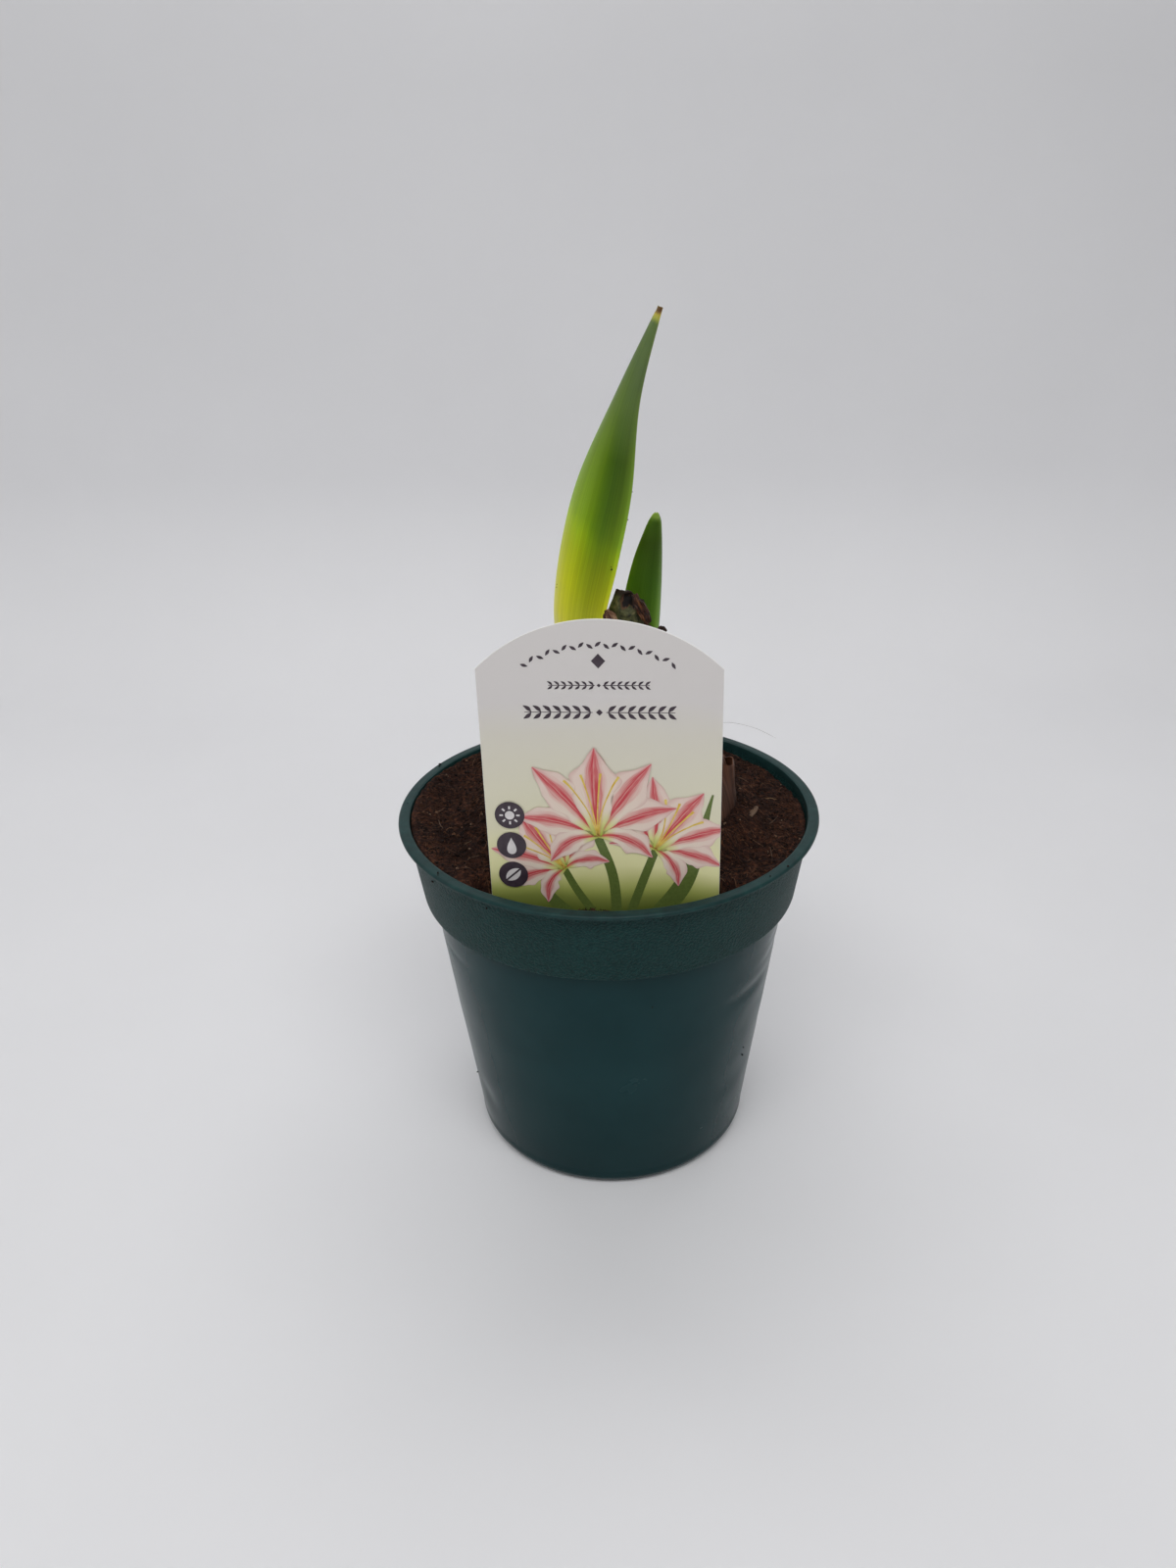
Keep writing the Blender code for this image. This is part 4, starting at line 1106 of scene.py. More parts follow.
def build_fibres(rng):
    """Coir and peat strands lying in and on the surface, each bent along its own way."""
    bm = bmesh.new()
    shades = []
    for _ in range(FIBRE_COUNT):
        x, y = soil_spot(rng, 0.0030)
        length = rng.uniform(0.0012, 0.0045) * (1.7 if rng.random() < 0.10 else 1.0)
        heading = rng.uniform(0, CIRCLE)
        bend = rng.uniform(-0.7, 0.7)
        lift = rng.uniform(-0.0002, 0.0006)
        path = []
        for share in (0.0, 0.25, 0.5, 0.75, 1.0):
            turn = heading + bend * (share - 0.5)
            px = x + math.cos(turn) * length * (share - 0.5)
            py = y + math.sin(turn) * length * (share - 0.5)
            px, py = held_within(px, py, RIM_INNER_RADIUS - 0.0006)
            arch = 0.0005 * math.sin(math.pi * share)
            path.append(Vector((px, py, soil_level(px, py) + lift + arch)))
        thick = rng.choice((0.00005, 0.00006, 0.00008, 0.00013))
        count = tube(bm, path, [thick * s for s in (0.6, 1.0, 1.0, 0.9, 0.4)], 3)
        shades.append((0.80 * rng.random() ** 2.6, count))
    stops = [(0.08, "#180B07"), (0.35, "#2E1810"), (0.62, "#472C1D"), (0.85, "#5E402C"), (1.0, "#806450")]
    fibres = finish_bits("peat_fibres", bm, shades, scatter_material("peat_strand", stops), 80)


def lump_shapes(rng):
    """Three irregular crumbs, each a sphere of 20 faces pulled out of shape."""
    shapes = []
    for _ in range(3):
        take_none()
        bpy.ops.mesh.primitive_ico_sphere_add(subdivisions=1, radius=1.0, location=(0, 0, 0))
        lump = bpy.context.object
        for vertex in lump.data.vertices:
            vertex.co *= rng.uniform(0.65, 1.25)
        shapes.append([v.co.copy() for v in lump.data.vertices])
        faces = [tuple(p.vertices) for p in lump.data.polygons]
        bpy.data.objects.remove(lump)
    return shapes, faces


def add_lump(bm, shape, faces, place, size, turn):
    verts = [bm.verts.new(place + turn @ (c * Vector(size))) for c in shape]
    for face in faces:
        bm.faces.new([verts[i] for i in face])
    return len(verts)


def spun(rng, axis, most=6.28):
    return Matrix.Rotation(rng.uniform(0, most), 3, axis)


def build_crumbs(rng):
    """Loose crumbs all over the peat."""
    shapes, faces = lump_shapes(rng)
    bm = bmesh.new()
    shades = []
    for _ in range(CRUMB_COUNT):
        x, y = soil_spot(rng, 0.0012)
        size = 0.00022 + 0.00050 * rng.random() ** 2.5
        x, y = held_within(x, y, RIM_INNER_RADIUS - 0.0004 - size)
        turn = spun(rng, "Z") @ spun(rng, "X", 3.14)
        place = Vector((x, y, soil_level(x, y) + size * 0.3))
        scale = [size * rng.uniform(low, high) for low, high in ((0.7, 1.5), (0.7, 1.1), (0.5, 0.9))]
        shade = 0.85 * rng.random() ** 2.0
        shades.append((shade, add_lump(bm, rng.choice(shapes), faces, place, scale, turn)))
    stops = [(0.08, "#0D0605"), (0.40, "#25130C"), (0.70, "#42281A"), (0.92, "#634430"), (1.0, "#8F7B68")]
    crumbs = finish_bits("peat_crumbs", bm, shades, scatter_material("peat_crumb", stops), 50)


# Strands that lie where they do in the photo: ends in millimetres, half width, shade
LAID_STRANDS = [
    ((57.2, 5.1), (61.9, 5.0), 0.00010, 0.80),
    ((56.3, -14.6), (60.3, -7.4), 0.00008, 0.60),
    ((54.8, -31.1), (53.8, -39.0), 0.00007, 0.66),
    ((-60.5, -8.4), (-57.9, -14.3), 0.00011, 0.62),
    ((-62.0, -2.0), (-59.2, 1.6), 0.00011, 0.58),
    ((49.0, 21.0), (52.4, 17.2), 0.00008, 0.55),
    ((-47.0, -38.0), (-43.5, -34.5), 0.00007, 0.62),
    ((-49.6, -27.0), (-46.6, -24.0), 0.00008, 0.70),
]
# The sliver of bark: its two ends, thickness and shade
CHIP_ENDS = (Vector((0.0496, -0.0142)), Vector((0.0532, -0.0044)))
CHIP_THICKNESS = 0.0005
CHIP_SHADE = 0.52
# Crumbs stuck to the pot: angle in degrees, height and radius in millimetres, size in millimetres
POT_CRUMBS = [
    (-139.4, 132.5, 73.2, 0.50),
    (-138.6, 132.4, 73.9, 0.30),
    (-145.3, 125.0, 71.5, 0.45),
    (-123.0, 126.6, 71.7, 0.40),
    (151.8, 132.6, 73.7, 0.60),
    (153.0, 132.5, 73.0, 0.35),
    (178.3, 132.5, 72.8, 0.30),
    (-38.4, 132.5, 74.2, 0.45),
    (-45.3, 132.5, 73.4, 0.40),
    (-163.4, 23.3, 54.6, 0.40),
    (-31.3, 41.9, 57.0, 0.45),
    (-77.4, 88.1, 62.9, 0.30),
    (-31.9, 46.0, 57.5, 0.28),
]
# Specks of peat on the large leaf: place and size in millimetres
LEAF_SPECKS = [
    ((2.2, -9.8, 221.6), 0.42),
    ((2.0, -9.7, 222.5), 0.25),
    ((-16.0, -0.3, 213.2), 0.20),
    ((-15.9, -0.4, 214.2), 0.15),
    ((7.45, -9.50, 237.4), 0.24),
    ((8.88, -9.08, 246.0), 0.20),
]


def lay_chip(bm):
    """A flat sliver of pale bark on the peat, in rows of three points above and three below, and how
    many points it has.
    """
    along = (CHIP_ENDS[1] - CHIP_ENDS[0]).normalized()
    across = Vector((-along.y, along.x))
    rows = []
    for k in range(7):
        share = k / 6
        spot = CHIP_ENDS[0].lerp(CHIP_ENDS[1], share)
        half = 0.0010 * (0.35 + 0.65 * math.sin(math.pi * (0.12 + 0.8 * share)))
        level = max(soil_level(spot.x, spot.y) + 0.0004, SOIL_LEVEL + 0.0004)
        row = []
        for side, lift in ((-1, 0.0), (0, 0.0003), (1, 0.0001)):
            x, y = spot + across * (side * half * (1 + 0.15 * math.sin(5 * share + side)))
            above = bm.verts.new((x, y, level + lift))
            row.append((above, bm.verts.new((x, y, level + lift - CHIP_THICKNESS))))
        rows.append(row)
    loops = [[*(pair[0] for pair in row), *(pair[1] for pair in reversed(row))] for row in rows]
    join_rings(bm, loops)
    for row, flip in ((rows[0], 1), (rows[-1], -1)):
        for k in range(2):
            corners = (row[k][0], row[k][1], row[k + 1][1], row[k + 1][0])
            bm.faces.new(corners[::flip])
    return sum(len(loop) for loop in loops)


def build_laid_bits():
    """The strands and the sliver of bark that stand out in the photo."""
    bm = bmesh.new()
    shades = []
    for near, far, half, shade in LAID_STRANDS:
        path = []
        for k in range(7):
            share = k / 6
            x, y = ((a + (b - a) * share) / 1000 for a, b in zip(near, far))
            x += 0.0003 * math.sin(4 * share + near[0])
            path.append(Vector((x, y, soil_level(x, y) + 0.0009 + 0.0002 * math.sin(6 * share))))
        shades.append((shade, tube(bm, path, [half * v for v in (0.5, 0.9, 1.0, 1.0, 1.0, 0.8, 0.4)], 5)))
    shades.append((CHIP_SHADE, lay_chip(bm)))
    stops = [(0.10, "#2A1A11"), (0.45, "#5A3B25"), (0.78, "#6F5E50"), (0.95, "#8C7050"), (1.0, "#B8A088")]
    bits = finish_bits("peat_laid_bits", bm, shades, scatter_material("bark_and_strand", stops), 50)


def build_pot_crumbs(rng):
    """Crumbs of peat on the flange, the wall, the large leaf and the foot of the bulb."""
    shapes, faces = lump_shapes(rng)
    bm = bmesh.new()
    shades = []
    for degrees, height, radius, size in POT_CRUMBS:
        place = polar(radius, math.radians(degrees), height) / 1000
        turn = spun(rng, "Z")
        scale = [size / 1000 * rng.uniform(0.6, 1.1) for _ in range(3)]
        shades.append((0.15, add_lump(bm, rng.choice(shapes), faces, place, scale, turn)))
    for spot, size in LEAF_SPECKS:
        turn = spun(rng, "Y")
        scale = [size / 1000 * rng.uniform(0.7, 1.2) for _ in range(3)]
        place = Vector(spot) / 1000
        shades.append((0.10, add_lump(bm, rng.choice(shapes), faces, place, scale, turn)))
    for _ in range(BULB_FOOT_CRUMBS):
        angle = rng.uniform(-math.pi, math.pi)
        place = bulb_place(angle, 0.1300 + 0.0085 * rng.random() ** 1.6, 0.0013)
        size = 0.00022 + 0.0004 * rng.random() ** 2
        turn = spun(rng, "Z")
        scale = (size, size * rng.uniform(0.7, 1.2), size * rng.uniform(0.7, 1.2))
        shade = rng.random() ** 2
        shades.append((shade, add_lump(bm, rng.choice(shapes), faces, place, scale, turn)))
    stops = [(0.08, "#0D0605"), (0.40, "#25130C"), (0.70, "#42281A"), (1.0, "#7A583C")]
    crumbs = finish_bits("stuck_crumbs", bm, shades, scatter_material("stuck_peat", stops), 50)


def build_hair():
    """One pale hair caught on the back of the rim."""
    bm = bmesh.new()
    points = [
        (0.0330, 0.0640, 0.1318),
        (0.0400, 0.0668, 0.1332),
        (0.0500, 0.0668, 0.1345),
        (0.0600, 0.0620, 0.1340),
        (0.0680, 0.0560, 0.1320),
    ]
    tube(bm, smooth_line(points, 28), [0.00007] * 27 + [0.00005, 0.00003], 5)
    hair = new_object("stray_hair", bm)
    # A dry plant hair: nearly white, thin enough to look grey against the paper
    stops = [(0.3, "#8E8A88"), (0.7, "#BDBAB8")]
    finish_piece(hair, [mottled("plant_hair", 0.5, 1.5, 0.5, {"Scale": 300}, stops)], 60)


# Label


def label_place():
    """Carries the label's flat drawing, across and up, to where the card stands in the peat."""
    stand = Matrix.Rotation(math.radians(90), 4, "X")
    roll = Matrix.Rotation(LABEL_ROLL, 4, "Y")
    turn = Matrix.Rotation(LABEL_TURN, 4, "Z")
    return Matrix.Translation(LABEL_CENTRE + UP * SOIL_LEVEL) @ turn @ roll @ stand


LABEL_PLACE = label_place()
LABEL_FORWARD = LABEL_PLACE.to_3x3() @ UP


def arch_height(x, inset):
    """Height at x of a curve that far inside the label's arched top."""
    return LABEL_TOP - LABEL_ARCH_RADIUS + math.sqrt((LABEL_ARCH_RADIUS - inset) ** 2 - x**2)


def label_outline():
    """Arched top, straight sides, rounded shoulders and a pointed stake, as (across, up)."""
    half = LABEL_WIDTH / 2
    swing = math.degrees(math.asin(half / LABEL_ARCH_RADIUS))
    centre = (0.0, LABEL_TOP - LABEL_ARCH_RADIUS)
    bend = 0.0060
    fillet = 0.0020
    left = [
        *arc((-half + bend, LABEL_SHOULDER), bend, 180, 270, 12),
        *arc((-STAKE_HALF - fillet, LABEL_SHOULDER - bend - fillet), fillet, 90, 0, 6),
        (-STAKE_HALF, STAKE_FOOT + 0.0140),
        (-0.0015, STAKE_FOOT),
    ]
    top = arc(centre, LABEL_ARCH_RADIUS, 90 - swing, 90 + swing, 72)
    return [*top, *left, *[(-x, z) for x, z in reversed(left)]]


def label_material():
    # Offset-printed polypropylene card under a satin varnish. The print fades from the card's
    # white through a pale yellow-green haze to lime and deep olive at its foot, behind a soft,
    # slightly bowed horizon
    material, tree, shader = start_material("label_print", 0.32, 1.49, 0.42)
    place = node(tree, "UVMap")
    parts = node(tree, "SeparateXYZ", {}, {0: place}).outputs
    haze = node(tree, "TexNoise", {"Scale": 3.2, "Detail": 1}, {"Vector": place})
    hazy = node(tree, "Math", {"operation": "MULTIPLY_ADD", 1: 0.10}, {0: haze, 2: parts["Y"]})
    side = node(tree, "Math", {"operation": "SUBTRACT", 1: 0.5}, {0: parts["X"]})
    spread = node(tree, "Math", {"operation": "MULTIPLY"}, {0: side, 1: side})
    bowed = node(tree, "Math", {"operation": "MULTIPLY_ADD", 1: 0.20}, {0: spread, 2: hazy})
    stops = [
        (0.08, "#667430"), (0.12, "#8A9549"), (0.146, "#ACB560"), (0.173, "#C8CD7E"),
        (0.20, "#E2E2A0"), (0.228, "#EFEDB4"), (0.31, "#E6E3B2"), (0.40, "#E0DCBE"),
        (0.50, "#DFDBC4"), (0.70, "#DAD6CA"), (0.80, "#D9D5D3"),
    ]
    link(tree, shader, {"Base Color": node(tree, "ValToRGB", {"stops": stops}, {"Fac": bowed})})
    return material


def card_material():
    # Bare white polypropylene card at the cut edge and on the back, faintly see-through white
    stops = [(0.35, "#ECEAE8"), (0.65, "#F4F3F1")]
    return mottled("label_card_white", 0.38, 1.49, 0.5, {"Scale": 60, "Detail": 3}, stops)


def ink_material(name, low, high, scale=400.0, spread=0.15):
    # Process ink under satin varnish: flat in the hand, with the faint mottle of the screen
    stops = [(0.5 - spread, low), (0.5 + spread, high)]
    return mottled(name, 0.36, 1.49, 0.4, {"Scale": scale, "Detail": 2}, stops)


def petal_material():
    # Printed petals: cream with red flames that run from a lime throat and break up towards a
    # pink margin
    material, tree, shader = start_material("petal_print", 0.34, 1.49, 0.4)
    place = node(tree, "UVMap")
    parts = node(tree, "SeparateXYZ", {}, {0: place}).outputs
    drawn = node(tree, "Mapping", {"Scale": (15, 1.6, 1)}, {"Vector": place})
    flames = node(tree, "TexNoise", {"Scale": 1, "Detail": 4, "Roughness": 0.6}, {"Vector": drawn})
    margin = node(tree, "Math", {"operation": "PINGPONG", 1: 0.5}, {0: parts["X"]})
    stops = [(0.10, "#303030"), (0.26, "#909090"), (0.42, "#C8C8C8"), (0.50, "#D8D8D8")]
    lobe = node(tree, "ValToRGB", {"stops": stops}, {"Fac": margin})
    strength = node(tree, "Math", {"operation": "MULTIPLY"}, {0: flames, 1: lobe})
    red = node(tree, "MapRange", {"range": (0.10, 0.34, 0.0, 0.95)}, {"Value": strength})
    stops = [(0.00, "#A9B93C"), (0.14, "#D9D98C"), (0.30, "#EBDCCB"), (0.80, "#E6CFC4"), (1.0, "#D9A9A6")]
    base = node(tree, "ValToRGB", {"stops": stops}, {"Fac": parts["Y"]})
    painted = node(tree, "Mix", {"data_type": "RGBA", 7: colour("#C8283C")}, {0: red, 6: base})
    rim = node(tree, "MapRange", {"range": (0.0, 0.07, 0.30, 0.0)}, {"Value": margin})
    edged = node(tree, "Mix", {"data_type": "RGBA", 7: colour("#B66A6E")}, {0: rim, 6: painted})
    link(tree, shader, {"Base Color": edged})
    return material


class Print:
    """Flat printed shapes of one ink, raised a hair off the card, layer above layer."""

    def __init__(self, name):
        self.name = name
        self.bm = bmesh.new()
        self.uv = self.bm.loops.layers.uv.new("UVMap")

    def at(self, x, y, layer):
        """A new point on the card, held inside its edge."""
        limit = LABEL_WIDTH / 2 - 0.0001
        spot = Vector((max(-limit, min(limit, x)), y, LABEL_FRONT + INK * layer))
        return self.bm.verts.new(LABEL_PLACE @ spot)

    def polygon(self, points, layer):
        """A filled outline, as a fan about its middle."""
        cx = sum(p[0] for p in points) / len(points)
        cy = sum(p[1] for p in points) / len(points)
        middle = self.at(cx, cy, layer)
        ring = [self.at(x, y, layer) for x, y in points]
        for i, vert in enumerate(ring):
            self.bm.faces.new((middle, vert, ring[(i + 1) % len(ring)]))

    def ribbon(self, spine, widths, layer, rows=24, columns=8, ruffle=0.0):
        """A petal or leaf drawn along a curved spine. U runs across it and V along it."""
        line = smooth_line([(x, y, 0.0) for x, y in spine], rows)
        spread = smooth_values(widths, rows)
        grid = []
        for i, place in enumerate(line):
            ahead = (line[min(i + 1, rows)] - line[max(i - 1, 0)]).normalized()
            side = Vector((-ahead.y, ahead.x, 0.0)) * max(0.00005, spread[i])
            row = []
            for k in range(columns + 1):
                s = k / columns - 0.5
                wavy = Vector((9 * s, 7 * i / rows, 40 * (spine[0][0] + spine[-1][0])))
                spot = place + side * (s * (1 + ruffle * noise.noise(wavy)))
                row.append(self.at(spot.x, spot.y, layer))
            grid.append(row)
        for i in range(rows):
            for k in range(columns):
                corners = ((k, i), (k, i + 1), (k + 1, i + 1), (k + 1, i))
                face = self.bm.faces.new([grid[v][u] for u, v in corners])
                for loop, (u, v) in zip(face.loops, corners):
                    loop[self.uv].uv = (u / columns, v / rows)

    def done(self, material):
        """Faces every shape away from the card, which flat islands don't do of themselves."""
        self.bm.normal_update()
        backward = [face for face in self.bm.faces if face.normal.dot(LABEL_FORWARD) < 0]
        bmesh.ops.reverse_faces(self.bm, faces=backward)
        obj = new_object(self.name, self.bm)
        obj.data.materials.append(material)
        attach(obj, "root")


def circle(x, y, radius, steps=40):
    return arc((x, y), radius, 0, 360 - 360 / steps, steps - 1)


# A bloom's petals: lean in degrees, length and width as shares of the bloom, curl in degrees, layer
PETAL_FAN = [
    (-58, 0.86, 0.30, -14, 0),
    (58, 0.88, 0.30, 14, 0),
    (-30, 1.02, 0.34, -6, 1),
    (31, 1.00, 0.34, 7, 1),
    (-84, 0.60, 0.24, -34, 1),
    (84, 0.62, 0.24, 34, 1),
    (0, 1.00, 0.42, 3, 2),
]


def flower(petals, stamens, centre, tilt, size, layer):
    """A bloom seen from its side: petals fan out of one throat, the front ones over the back."""
    middle = Vector(centre)
    turn = Matrix.Rotation(math.radians(tilt), 2)
    for lean, length, width, curl, over in PETAL_FAN:
        spine = []
        for k in range(4):
            way = math.radians(90 - lean - curl * k / 3)
            spine.append(middle + turn @ polar(size * length * k / 3, way).xy)
        widths = [size * width * share for share in (0.22, 0.80, 1.08, 0.04)]
        petals.ribbon(spine, widths, layer + over, rows=40, columns=12, ruffle=0.30)
    for lean in (-16, -6, 5, 15):
        spine = []
        for share in (0.0, 0.4, 0.8, 1.0):
            way = math.radians(90 - lean * (0.5 + share))
            spine.append(middle + turn @ polar(size * 0.72 * share, way).xy)
        stamens.ribbon(spine, [0.0004, 0.0004, 0.0005, 0.0008], layer + 3, rows=10, columns=1)


def sprig(ink, height, half, pairs, length):
    """A level sprig of leaf pairs that grow out from a small diamond in the middle."""
    bead = 0.30 * length
    ink.polygon([(0.0, height + bead), (-bead, height), (0.0, height - bead), (bead, height)], 1)
    for side in (-1, 1):
        stalk = [(side * 2 * bead, height), (side * half, height)]
        ink.ribbon(stalk, [0.00025, 0.00020], 1, rows=6, columns=1)
        for k in range(pairs):
            foot = side * (2.6 * bead + (half - 2.6 * bead - 0.6 * length) * k / (pairs - 1))
            for up in (-1, 1):
                bend = (foot + side * 0.28 * length, height + up * 0.36 * length)
                reach = (foot + side * 0.70 * length, height + up * 0.62 * length)
                leaf = [(foot, height + 0.0001 * up), bend, reach]
                ink.ribbon(leaf, [0.0002, 0.36 * length, 0.0002], 1, rows=8, columns=2)


# Strap leaves and stems behind the blooms: foot, bend and end, and the width at each
STEMS = [
    (0.004, (0.003, 0.004), (-0.002, 0.020), [0.0034, 0.0032, 0.0028]),
    (0.006, (0.012, 0.002), (0.017, 0.016), [0.0030, 0.0028, 0.0024]),
    (0.001, (-0.008, -0.002), (-0.013, 0.008), [0.0028, 0.0026, 0.0022]),
    (0.012, (0.026, 0.004), (0.034, 0.034), [0.0060, 0.0056, 0.0006]),
    (-0.004, (-0.017, -0.004), (-0.020, 0.006), [0.0044, 0.0040, 0.0006]),
]


def print_border(dark):
    """A row of small leaves that follows the arch, a diamond, and two level sprigs under it."""
    for i in range(BORDER_LEAVES):
        x = (i - BORDER_LEAVES // 2) * BORDER_STEP
        along = polar(1, math.atan2(-x, 0.0515)).xy
        up = Vector((-along.y, along.x)) * (1 if i % 2 else -1)
        spot = Vector((x, arch_height(x, BORDER_INSET)))
        foot = spot - along * 0.0008 - up * 0.0004
        tip = spot + along * 0.0009 + up * 0.0010
        dark.ribbon([foot, spot + up * 0.0003, tip], [0.0002, 0.0010, 0.0002], 1, rows=6, columns=2)
    dark.polygon([(0.0, 0.0795), (-0.0021, 0.0772), (0.0, 0.0749), (0.0021, 0.0772)], 1)
    sprig(dark, 0.0696, 0.0150, 7, 0.0020)
    sprig(dark, 0.0610, 0.0225, 7, 0.0034)


def print_signs(dark, pale):
    """Care signs: plain dark discs with a sun, a drop and a leaf of two halves."""
    for height in (SUN_HEIGHT, DROP_HEIGHT, SPROUT_HEIGHT):
        dark.polygon(circle(SIGN_X, height, SIGN_RADIUS), 7)
    pale.polygon(circle(SIGN_X, SUN_HEIGHT, 0.0015, 24), 8)
    for degrees in range(0, 360, 45):
        middle = Vector((SIGN_X, SUN_HEIGHT))
        ray = [middle + polar(reach, math.radians(degrees)).xy for reach in (0.0021, 0.0032)]
        pale.ribbon(ray, [0.0006, 0.0006], 8, rows=1, columns=1)
    drop = []
    for step in range(32):
        way = CIRCLE * step / 32
        wide = 0.0021 * math.sin(way) * math.sin(way / 2) ** 1.4
        drop.append((SIGN_X + wide, DROP_HEIGHT - 0.0002 + 0.0030 * math.cos(way)))
    pale.polygon(drop, 8)
    lens = [*arc((0.0, -0.0019), 0.0035, 147, 33, 12), *arc((0.0, 0.0019), 0.0035, -33, -147, 12)]
    slope = Matrix.Rotation(math.radians(42), 2)
    for side in (0.0003, -0.0003):
        leaf = [slope @ Vector((x, y + side)) for x, y in lens if y * side >= 0]
        pale.polygon([(SIGN_X + p.x, SPROUT_HEIGHT + p.y) for p in leaf], 8)


def build_print():
    names = ("print_petals", "print_stems", "print_stamens", "print_dark", "print_pale")
    petals, stems, stamens, dark, pale = (Print(name) for name in names)
    for foot, bend, end, widths in STEMS:
        stems.ribbon([(foot, STEM_FOOT), bend, end], widths, 1)
    flower(petals, stamens, (-0.0125, 0.0075), 38, 0.0235, 2)
    flower(petals, stamens, (0.0165, 0.0150), -34, 0.0245, 2)
    flower(petals, stamens, (-0.0015, 0.0195), 4, 0.0300, 6)
    print_border(dark)
    print_signs(dark, pale)
    petals.done(petal_material())
    stems.done(ink_material("stem_ink", "#5A6B32", "#66783A", 1200.0, 0.20))
    stamens.done(ink_material("stamen_ink", "#D9B23A", "#E8CF6A"))
    dark.done(ink_material("dark_ink", "#3A2F38", "#453A43"))
    pale.done(ink_material("pale_ink", "#DAD6D6", "#E6E2E2"))


def build_label():
    """The card, printed on its face only."""
    bm = bmesh.new()
    spots = [LABEL_PLACE @ Vector((x, y, LABEL_FRONT)) for x, y in label_outline()]
    bm.faces.new([bm.verts.new(spot) for spot in spots])
    label = new_object("label_card", bm)
    thicken(label, LABEL_THICKNESS, -1.0)
    bevel = label.modifiers.new("Edge", "BEVEL")
    bevel.width = 0.00008
    bevel.segments = 1
    bevel.limit_method = "ANGLE"
    bevel.angle_limit = math.radians(60)
    finish_piece(label, [label_material(), card_material()], 30)
    away = LABEL_PLACE.inverted()
    uv = label.data.uv_layers.new(name="UVMap")
    for face in label.data.polygons:
        if face.normal.dot(LABEL_FORWARD) < 0.9:
            face.material_index = 1
        for loop in face.loop_indices:
            spot = away @ label.data.vertices[label.data.loops[loop].vertex_index].co
            uv.data[loop].uv = (spot.x * 10 + 0.5, (spot.y + 0.010) * 10)
    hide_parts("label")
    build_print()


# Stage


def room_ring(bm, inset, height):
    """One level ring of the paper room: a rectangle with round corners, inset metres inside it."""
    ring = []
    corners = (
        (ROOM_HIGH[0], ROOM_HIGH[1], 0),
        (ROOM_LOW[0], ROOM_HIGH[1], 90),
        (ROOM_LOW[0], ROOM_LOW[1], 180),
        (ROOM_HIGH[0], ROOM_LOW[1], 270),
    )
    for x, y, start in corners:
        centre = (x - math.copysign(ROOM_CORNER, x), y - math.copysign(ROOM_CORNER, y))
        for px, py in arc(centre, ROOM_CORNER - inset, start, start + 90, 12):
            ring.append(bm.verts.new((px, py, height)))
    return ring


def paper_material():
    # Photographer's background paper: matte and nearly white, a little darker where it rises out
    # of the light
    material, tree, shader = start_material("sweep_paper", 0.9, 1.45, 0.1)
    place = node(tree, "TexCoord").outputs["Object"]
    mottle = node(tree, "TexNoise", {"Scale": 6, "Detail": 3}, {"Vector": place})
    tint = node(tree, "ValToRGB", {"stops": [(0.3, "#EEEEF0"), (0.7, "#F1F1F3")]}, {"Fac": mottle})
    height = node(tree, "SeparateXYZ", {}, {0: place}).outputs["Z"]
    rise = node(tree, "MapRange", {"range": (0.02, 0.40, 1.0, 0.84)}, {"Value": height})
    shade = node(tree, "VectorMath", {"operation": "SCALE"}, {"Vector": tint, "Scale": rise})
    link(tree, shader, {"Base Color": shade})
    return material


def build_stage():
    """A pale paper sweep: a floor that rises in a wide curve into walls on all sides."""
    bm = bmesh.new()
    bends = arc((ROOM_BEND, ROOM_BEND), ROOM_BEND, 270, 180, 15)
    rings = [room_ring(bm, 1.4 * ROOM_BEND, 0.0), *(room_ring(bm, *bend) for bend in bends)]
    rings.append(room_ring(bm, 0.0, ROOM_HEIGHT))
    bm.faces.new(rings[0])
    join_rings(bm, rings)
    bmesh.ops.recalc_face_normals(bm, faces=bm.faces)
    bm.faces.ensure_lookup_table()
    if bm.faces[0].normal.z < 0:
        bmesh.ops.reverse_faces(bm, faces=bm.faces)
    floor = new_object("paper_sweep", bm)
    take(floor)
    bpy.ops.object.shade_smooth()
    floor.data.materials.append(paper_material())


def area_light(name, place, target, size, power):
    data = bpy.data.lights.new(name, "AREA")
    data.shape = "RECTANGLE"
    data.size, data.size_y = size
    data.energy = power
    light = bpy.data.objects.new(name, data)
    bpy.context.scene.collection.objects.link(light)
    light.location = place
    light.rotation_euler = (Vector(target) - Vector(place)).to_track_quat("-Z", "Y").to_euler()


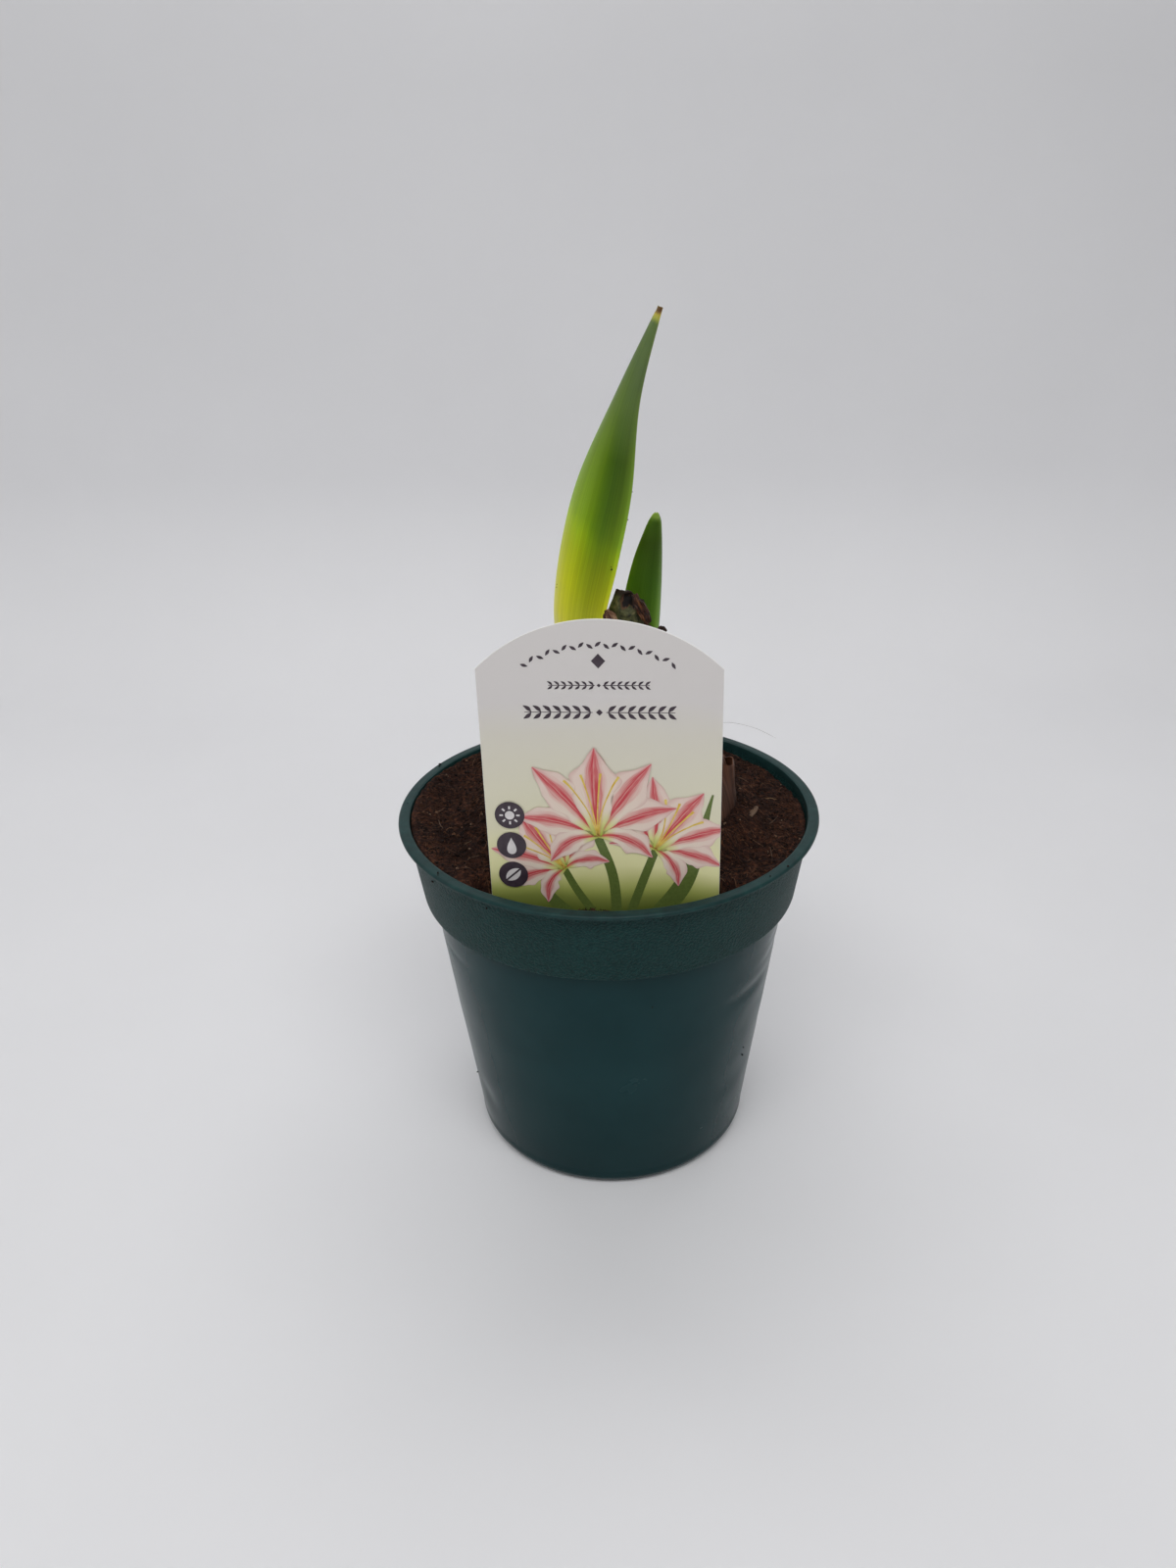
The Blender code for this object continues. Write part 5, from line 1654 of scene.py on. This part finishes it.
def build_light():
    """Soft boxes round the pot and a faint glow from the room."""
    world = bpy.data.worlds.new("soft_room")
    bpy.context.scene.world = world
    world.use_nodes = True
    background = world.node_tree.nodes["Background"]
    background.inputs["Color"].default_value = colour("#F2F2F4")
    background.inputs["Strength"].default_value = 0.02
    area_light("front_box", (0.0, -0.60, 1.00), (0.0, 0.0, 0.0), (1.2, 0.5), 7.1)
    area_light("back_box", (0.0, 0.38, 1.00), (0.0, 0.30, 0.0), (1.1, 0.25), 2.4)
    area_light("low_box", (0.0, -1.15, 0.45), (0.0, 0.0, 0.10), (1.2, 0.6), 0.85)
    area_light("left_box", (-1.0, 0.0, 0.60), (0.0, 0.0, 0.10), (0.9, 0.9), 1.5)
    area_light("right_box", (1.0, 0.0, 0.60), (0.0, 0.0, 0.10), (0.9, 0.9), 0.6)


def build_camera():
    """The photograph's viewpoint, turned by its yaw, pitch and tilt."""
    sweep = math.cos(CAMERA_PITCH)
    ahead = Vector((math.sin(CAMERA_YAW) * sweep, math.cos(CAMERA_YAW) * sweep, -math.sin(CAMERA_PITCH)))
    level = Vector((math.cos(CAMERA_YAW), -math.sin(CAMERA_YAW), 0.0))
    down = ahead.cross(level)
    right = math.cos(CAMERA_TILT) * level + math.sin(CAMERA_TILT) * down
    under = -math.sin(CAMERA_TILT) * level + math.cos(CAMERA_TILT) * down
    data = bpy.data.cameras.new("photo_camera")
    data.sensor_fit = "VERTICAL"
    data.sensor_height = SENSOR_HEIGHT
    data.lens = SENSOR_HEIGHT * CAMERA_FOCAL / PHOTO_HEIGHT
    data.clip_start = 0.01
    camera = bpy.data.objects.new("photo_camera", data)
    bpy.context.scene.collection.objects.link(camera)
    turn = Matrix((right, -under, -ahead)).transposed().to_4x4()
    camera.matrix_world = Matrix.Translation(CAMERA_PLACE) @ turn
    bpy.context.scene.camera = camera


def main():
    rng = random.Random(SEED)
    bpy.context.scene.view_settings.view_transform = "Standard"
    build_camera()
    build_stage()
    build_light()
    build_pot()
    build_bulb()
    build_leaves()
    build_soil()
    build_fibres(rng)
    build_crumbs(rng)
    build_laid_bits()
    build_pot_crumbs(rng)
    build_hair()
    build_label()


main()
